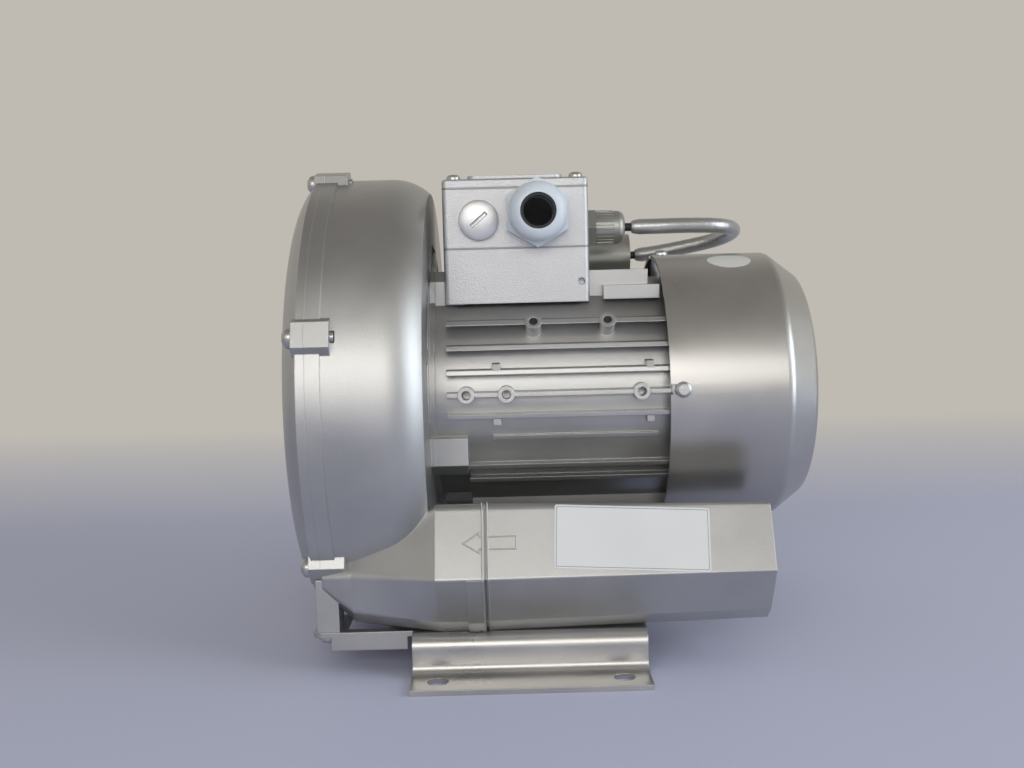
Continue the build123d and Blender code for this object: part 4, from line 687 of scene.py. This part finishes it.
# ================================================================ capacitor lead
ROUTE_ORDER, ROUTE_STEPS = 3, 24
LEAD_SEGMENTS, LEAD_STEP = 20, 0.002
SLEEVE_SEGMENTS, SLEEVE_STEP = 40, 0.0008
GATHER, GATHERED = 0.004, 0.35       # length of the gathered ends, and how full the sleeve is there
CREASED = 0.05                       # reach of the creases from the middle of the bend
CREASE_DEEP, CREASE_LIGHT, FOLD_DEEP = 0.035, 0.012, 0.018
CREASE_CLOSE, CREASE_WIDE = 1500, 610                      # radians per metre along the sleeve
CREASE_SWING, SWING_WAVE = 1.3, 90
FOLDS = ((3, 40, 1.0), (7, -130, 0.6))                     # folds round, twist per metre, share


def lead_line():
    """Smooth line of the lead: points and lengths along its spline."""
    curve = bpy.data.curves.new("lead_line", "CURVE")
    curve.dimensions = "3D"
    spline = curve.splines.new("NURBS")
    spline.points.add(len(LEAD_ROUTE) - 1)
    for point, place in zip(spline.points, LEAD_ROUTE):
        point.co = (*place, 1)
    spline.order_u = ROUTE_ORDER
    spline.use_endpoint_u = True
    curve.resolution_u = ROUTE_STEPS
    holder = bpy.data.objects.new("lead_line", curve)
    mesh = bpy.data.meshes.new_from_object(holder)
    line = [vertex.co.copy() for vertex in mesh.vertices]
    bpy.data.objects.remove(holder)
    bpy.data.meshes.remove(mesh)
    bpy.data.curves.remove(curve)
    lengths = [0.0]
    for before, after in zip(line, line[1:]):
        lengths.append(lengths[-1] + (after - before).length)
    return line, lengths


def tube(faces, line, lengths, start, end, radius_at, segments, step):
    """Tube over the part of a line between two lengths; radius_at gets length and angle."""
    count = max(2, int((end - start) / step))
    rings, side, at = [], None, 0
    for k in range(count + 1):
        length = start + (end - start) * k / count
        while lengths[at + 1] < length and at + 2 < len(lengths):
            at += 1
        run = line[at + 1] - line[at]
        place = line[at] + run * (length - lengths[at]) / (lengths[at + 1] - lengths[at])
        along = run.normalized()
        side = side or along.cross(Vector((0, 1, 0)))
        side = (side - along * side.dot(along)).normalized()
        up = along.cross(side)
        ring = []
        for j in range(segments):
            angle = 2 * pi * j / segments
            ring.append(place + (side * cos(angle) + up * sin(angle)) * radius_at(length, angle))
        rings.append(ring)
    skin(faces, rings)


def add_lead():
    """Lead with its coated sleeve, gathered at both ends and creased where it bends."""
    line, lengths = lead_line()
    total = lengths[-1]
    lead = bmesh.new()
    tube(lead, line, lengths, 0.0, total, lambda length, angle: LEAD_R, LEAD_SEGMENTS, LEAD_STEP)
    link("dressed_lead", lead, rubber, replaces=("capacitor_lead",))
    first = SIDE_GLAND_END - LEAD_ROUTE[0][0] + SLEEVE_STUB
    last = total - SLEEVE_STUB
    bend = (first + last) / 2

    def sleeve_radius(length, angle):
        ends = min(1.0, (length - first) / GATHER, (last - length) / GATHER)
        near_bend = max(0.0, 1 - abs(length - bend) / CREASED)
        swing = CREASE_SWING * sin(angle + length * SWING_WAVE)
        crease = sin(length * CREASE_CLOSE + swing) * sin(length * CREASE_WIDE + 2 * angle)
        folds = sum(share * sin(count * angle + twist * length) for count, twist, share in FOLDS)
        swell = 1 + CREASE_DEEP * near_bend * crease + FOLD_DEEP * folds + CREASE_LIGHT * crease
        full = GATHERED + (1 - GATHERED) * max(0.0, ends) ** 0.5
        return LEAD_R + (SLEEVE_R - LEAD_R) * full * swell

    sleeve = bmesh.new()
    tube(sleeve, line, lengths, first, last, sleeve_radius, SLEEVE_SEGMENTS, SLEEVE_STEP)
    link("dressed_sleeve", sleeve, sleeve_paint, replaces=("lead_sleeve",))


finish_nodes()
add_camera()
add_stage()
add_world()
add_light("window", **WINDOW)
add_light("room", **ROOM)
bpy.context.scene.view_settings.view_transform = "Standard"

add_screw_heads()
add_arrow()
add_plate()
add_sticker()
add_plug()
add_seam_beads()
add_gland_ribs()
add_port_threads()
add_lead()
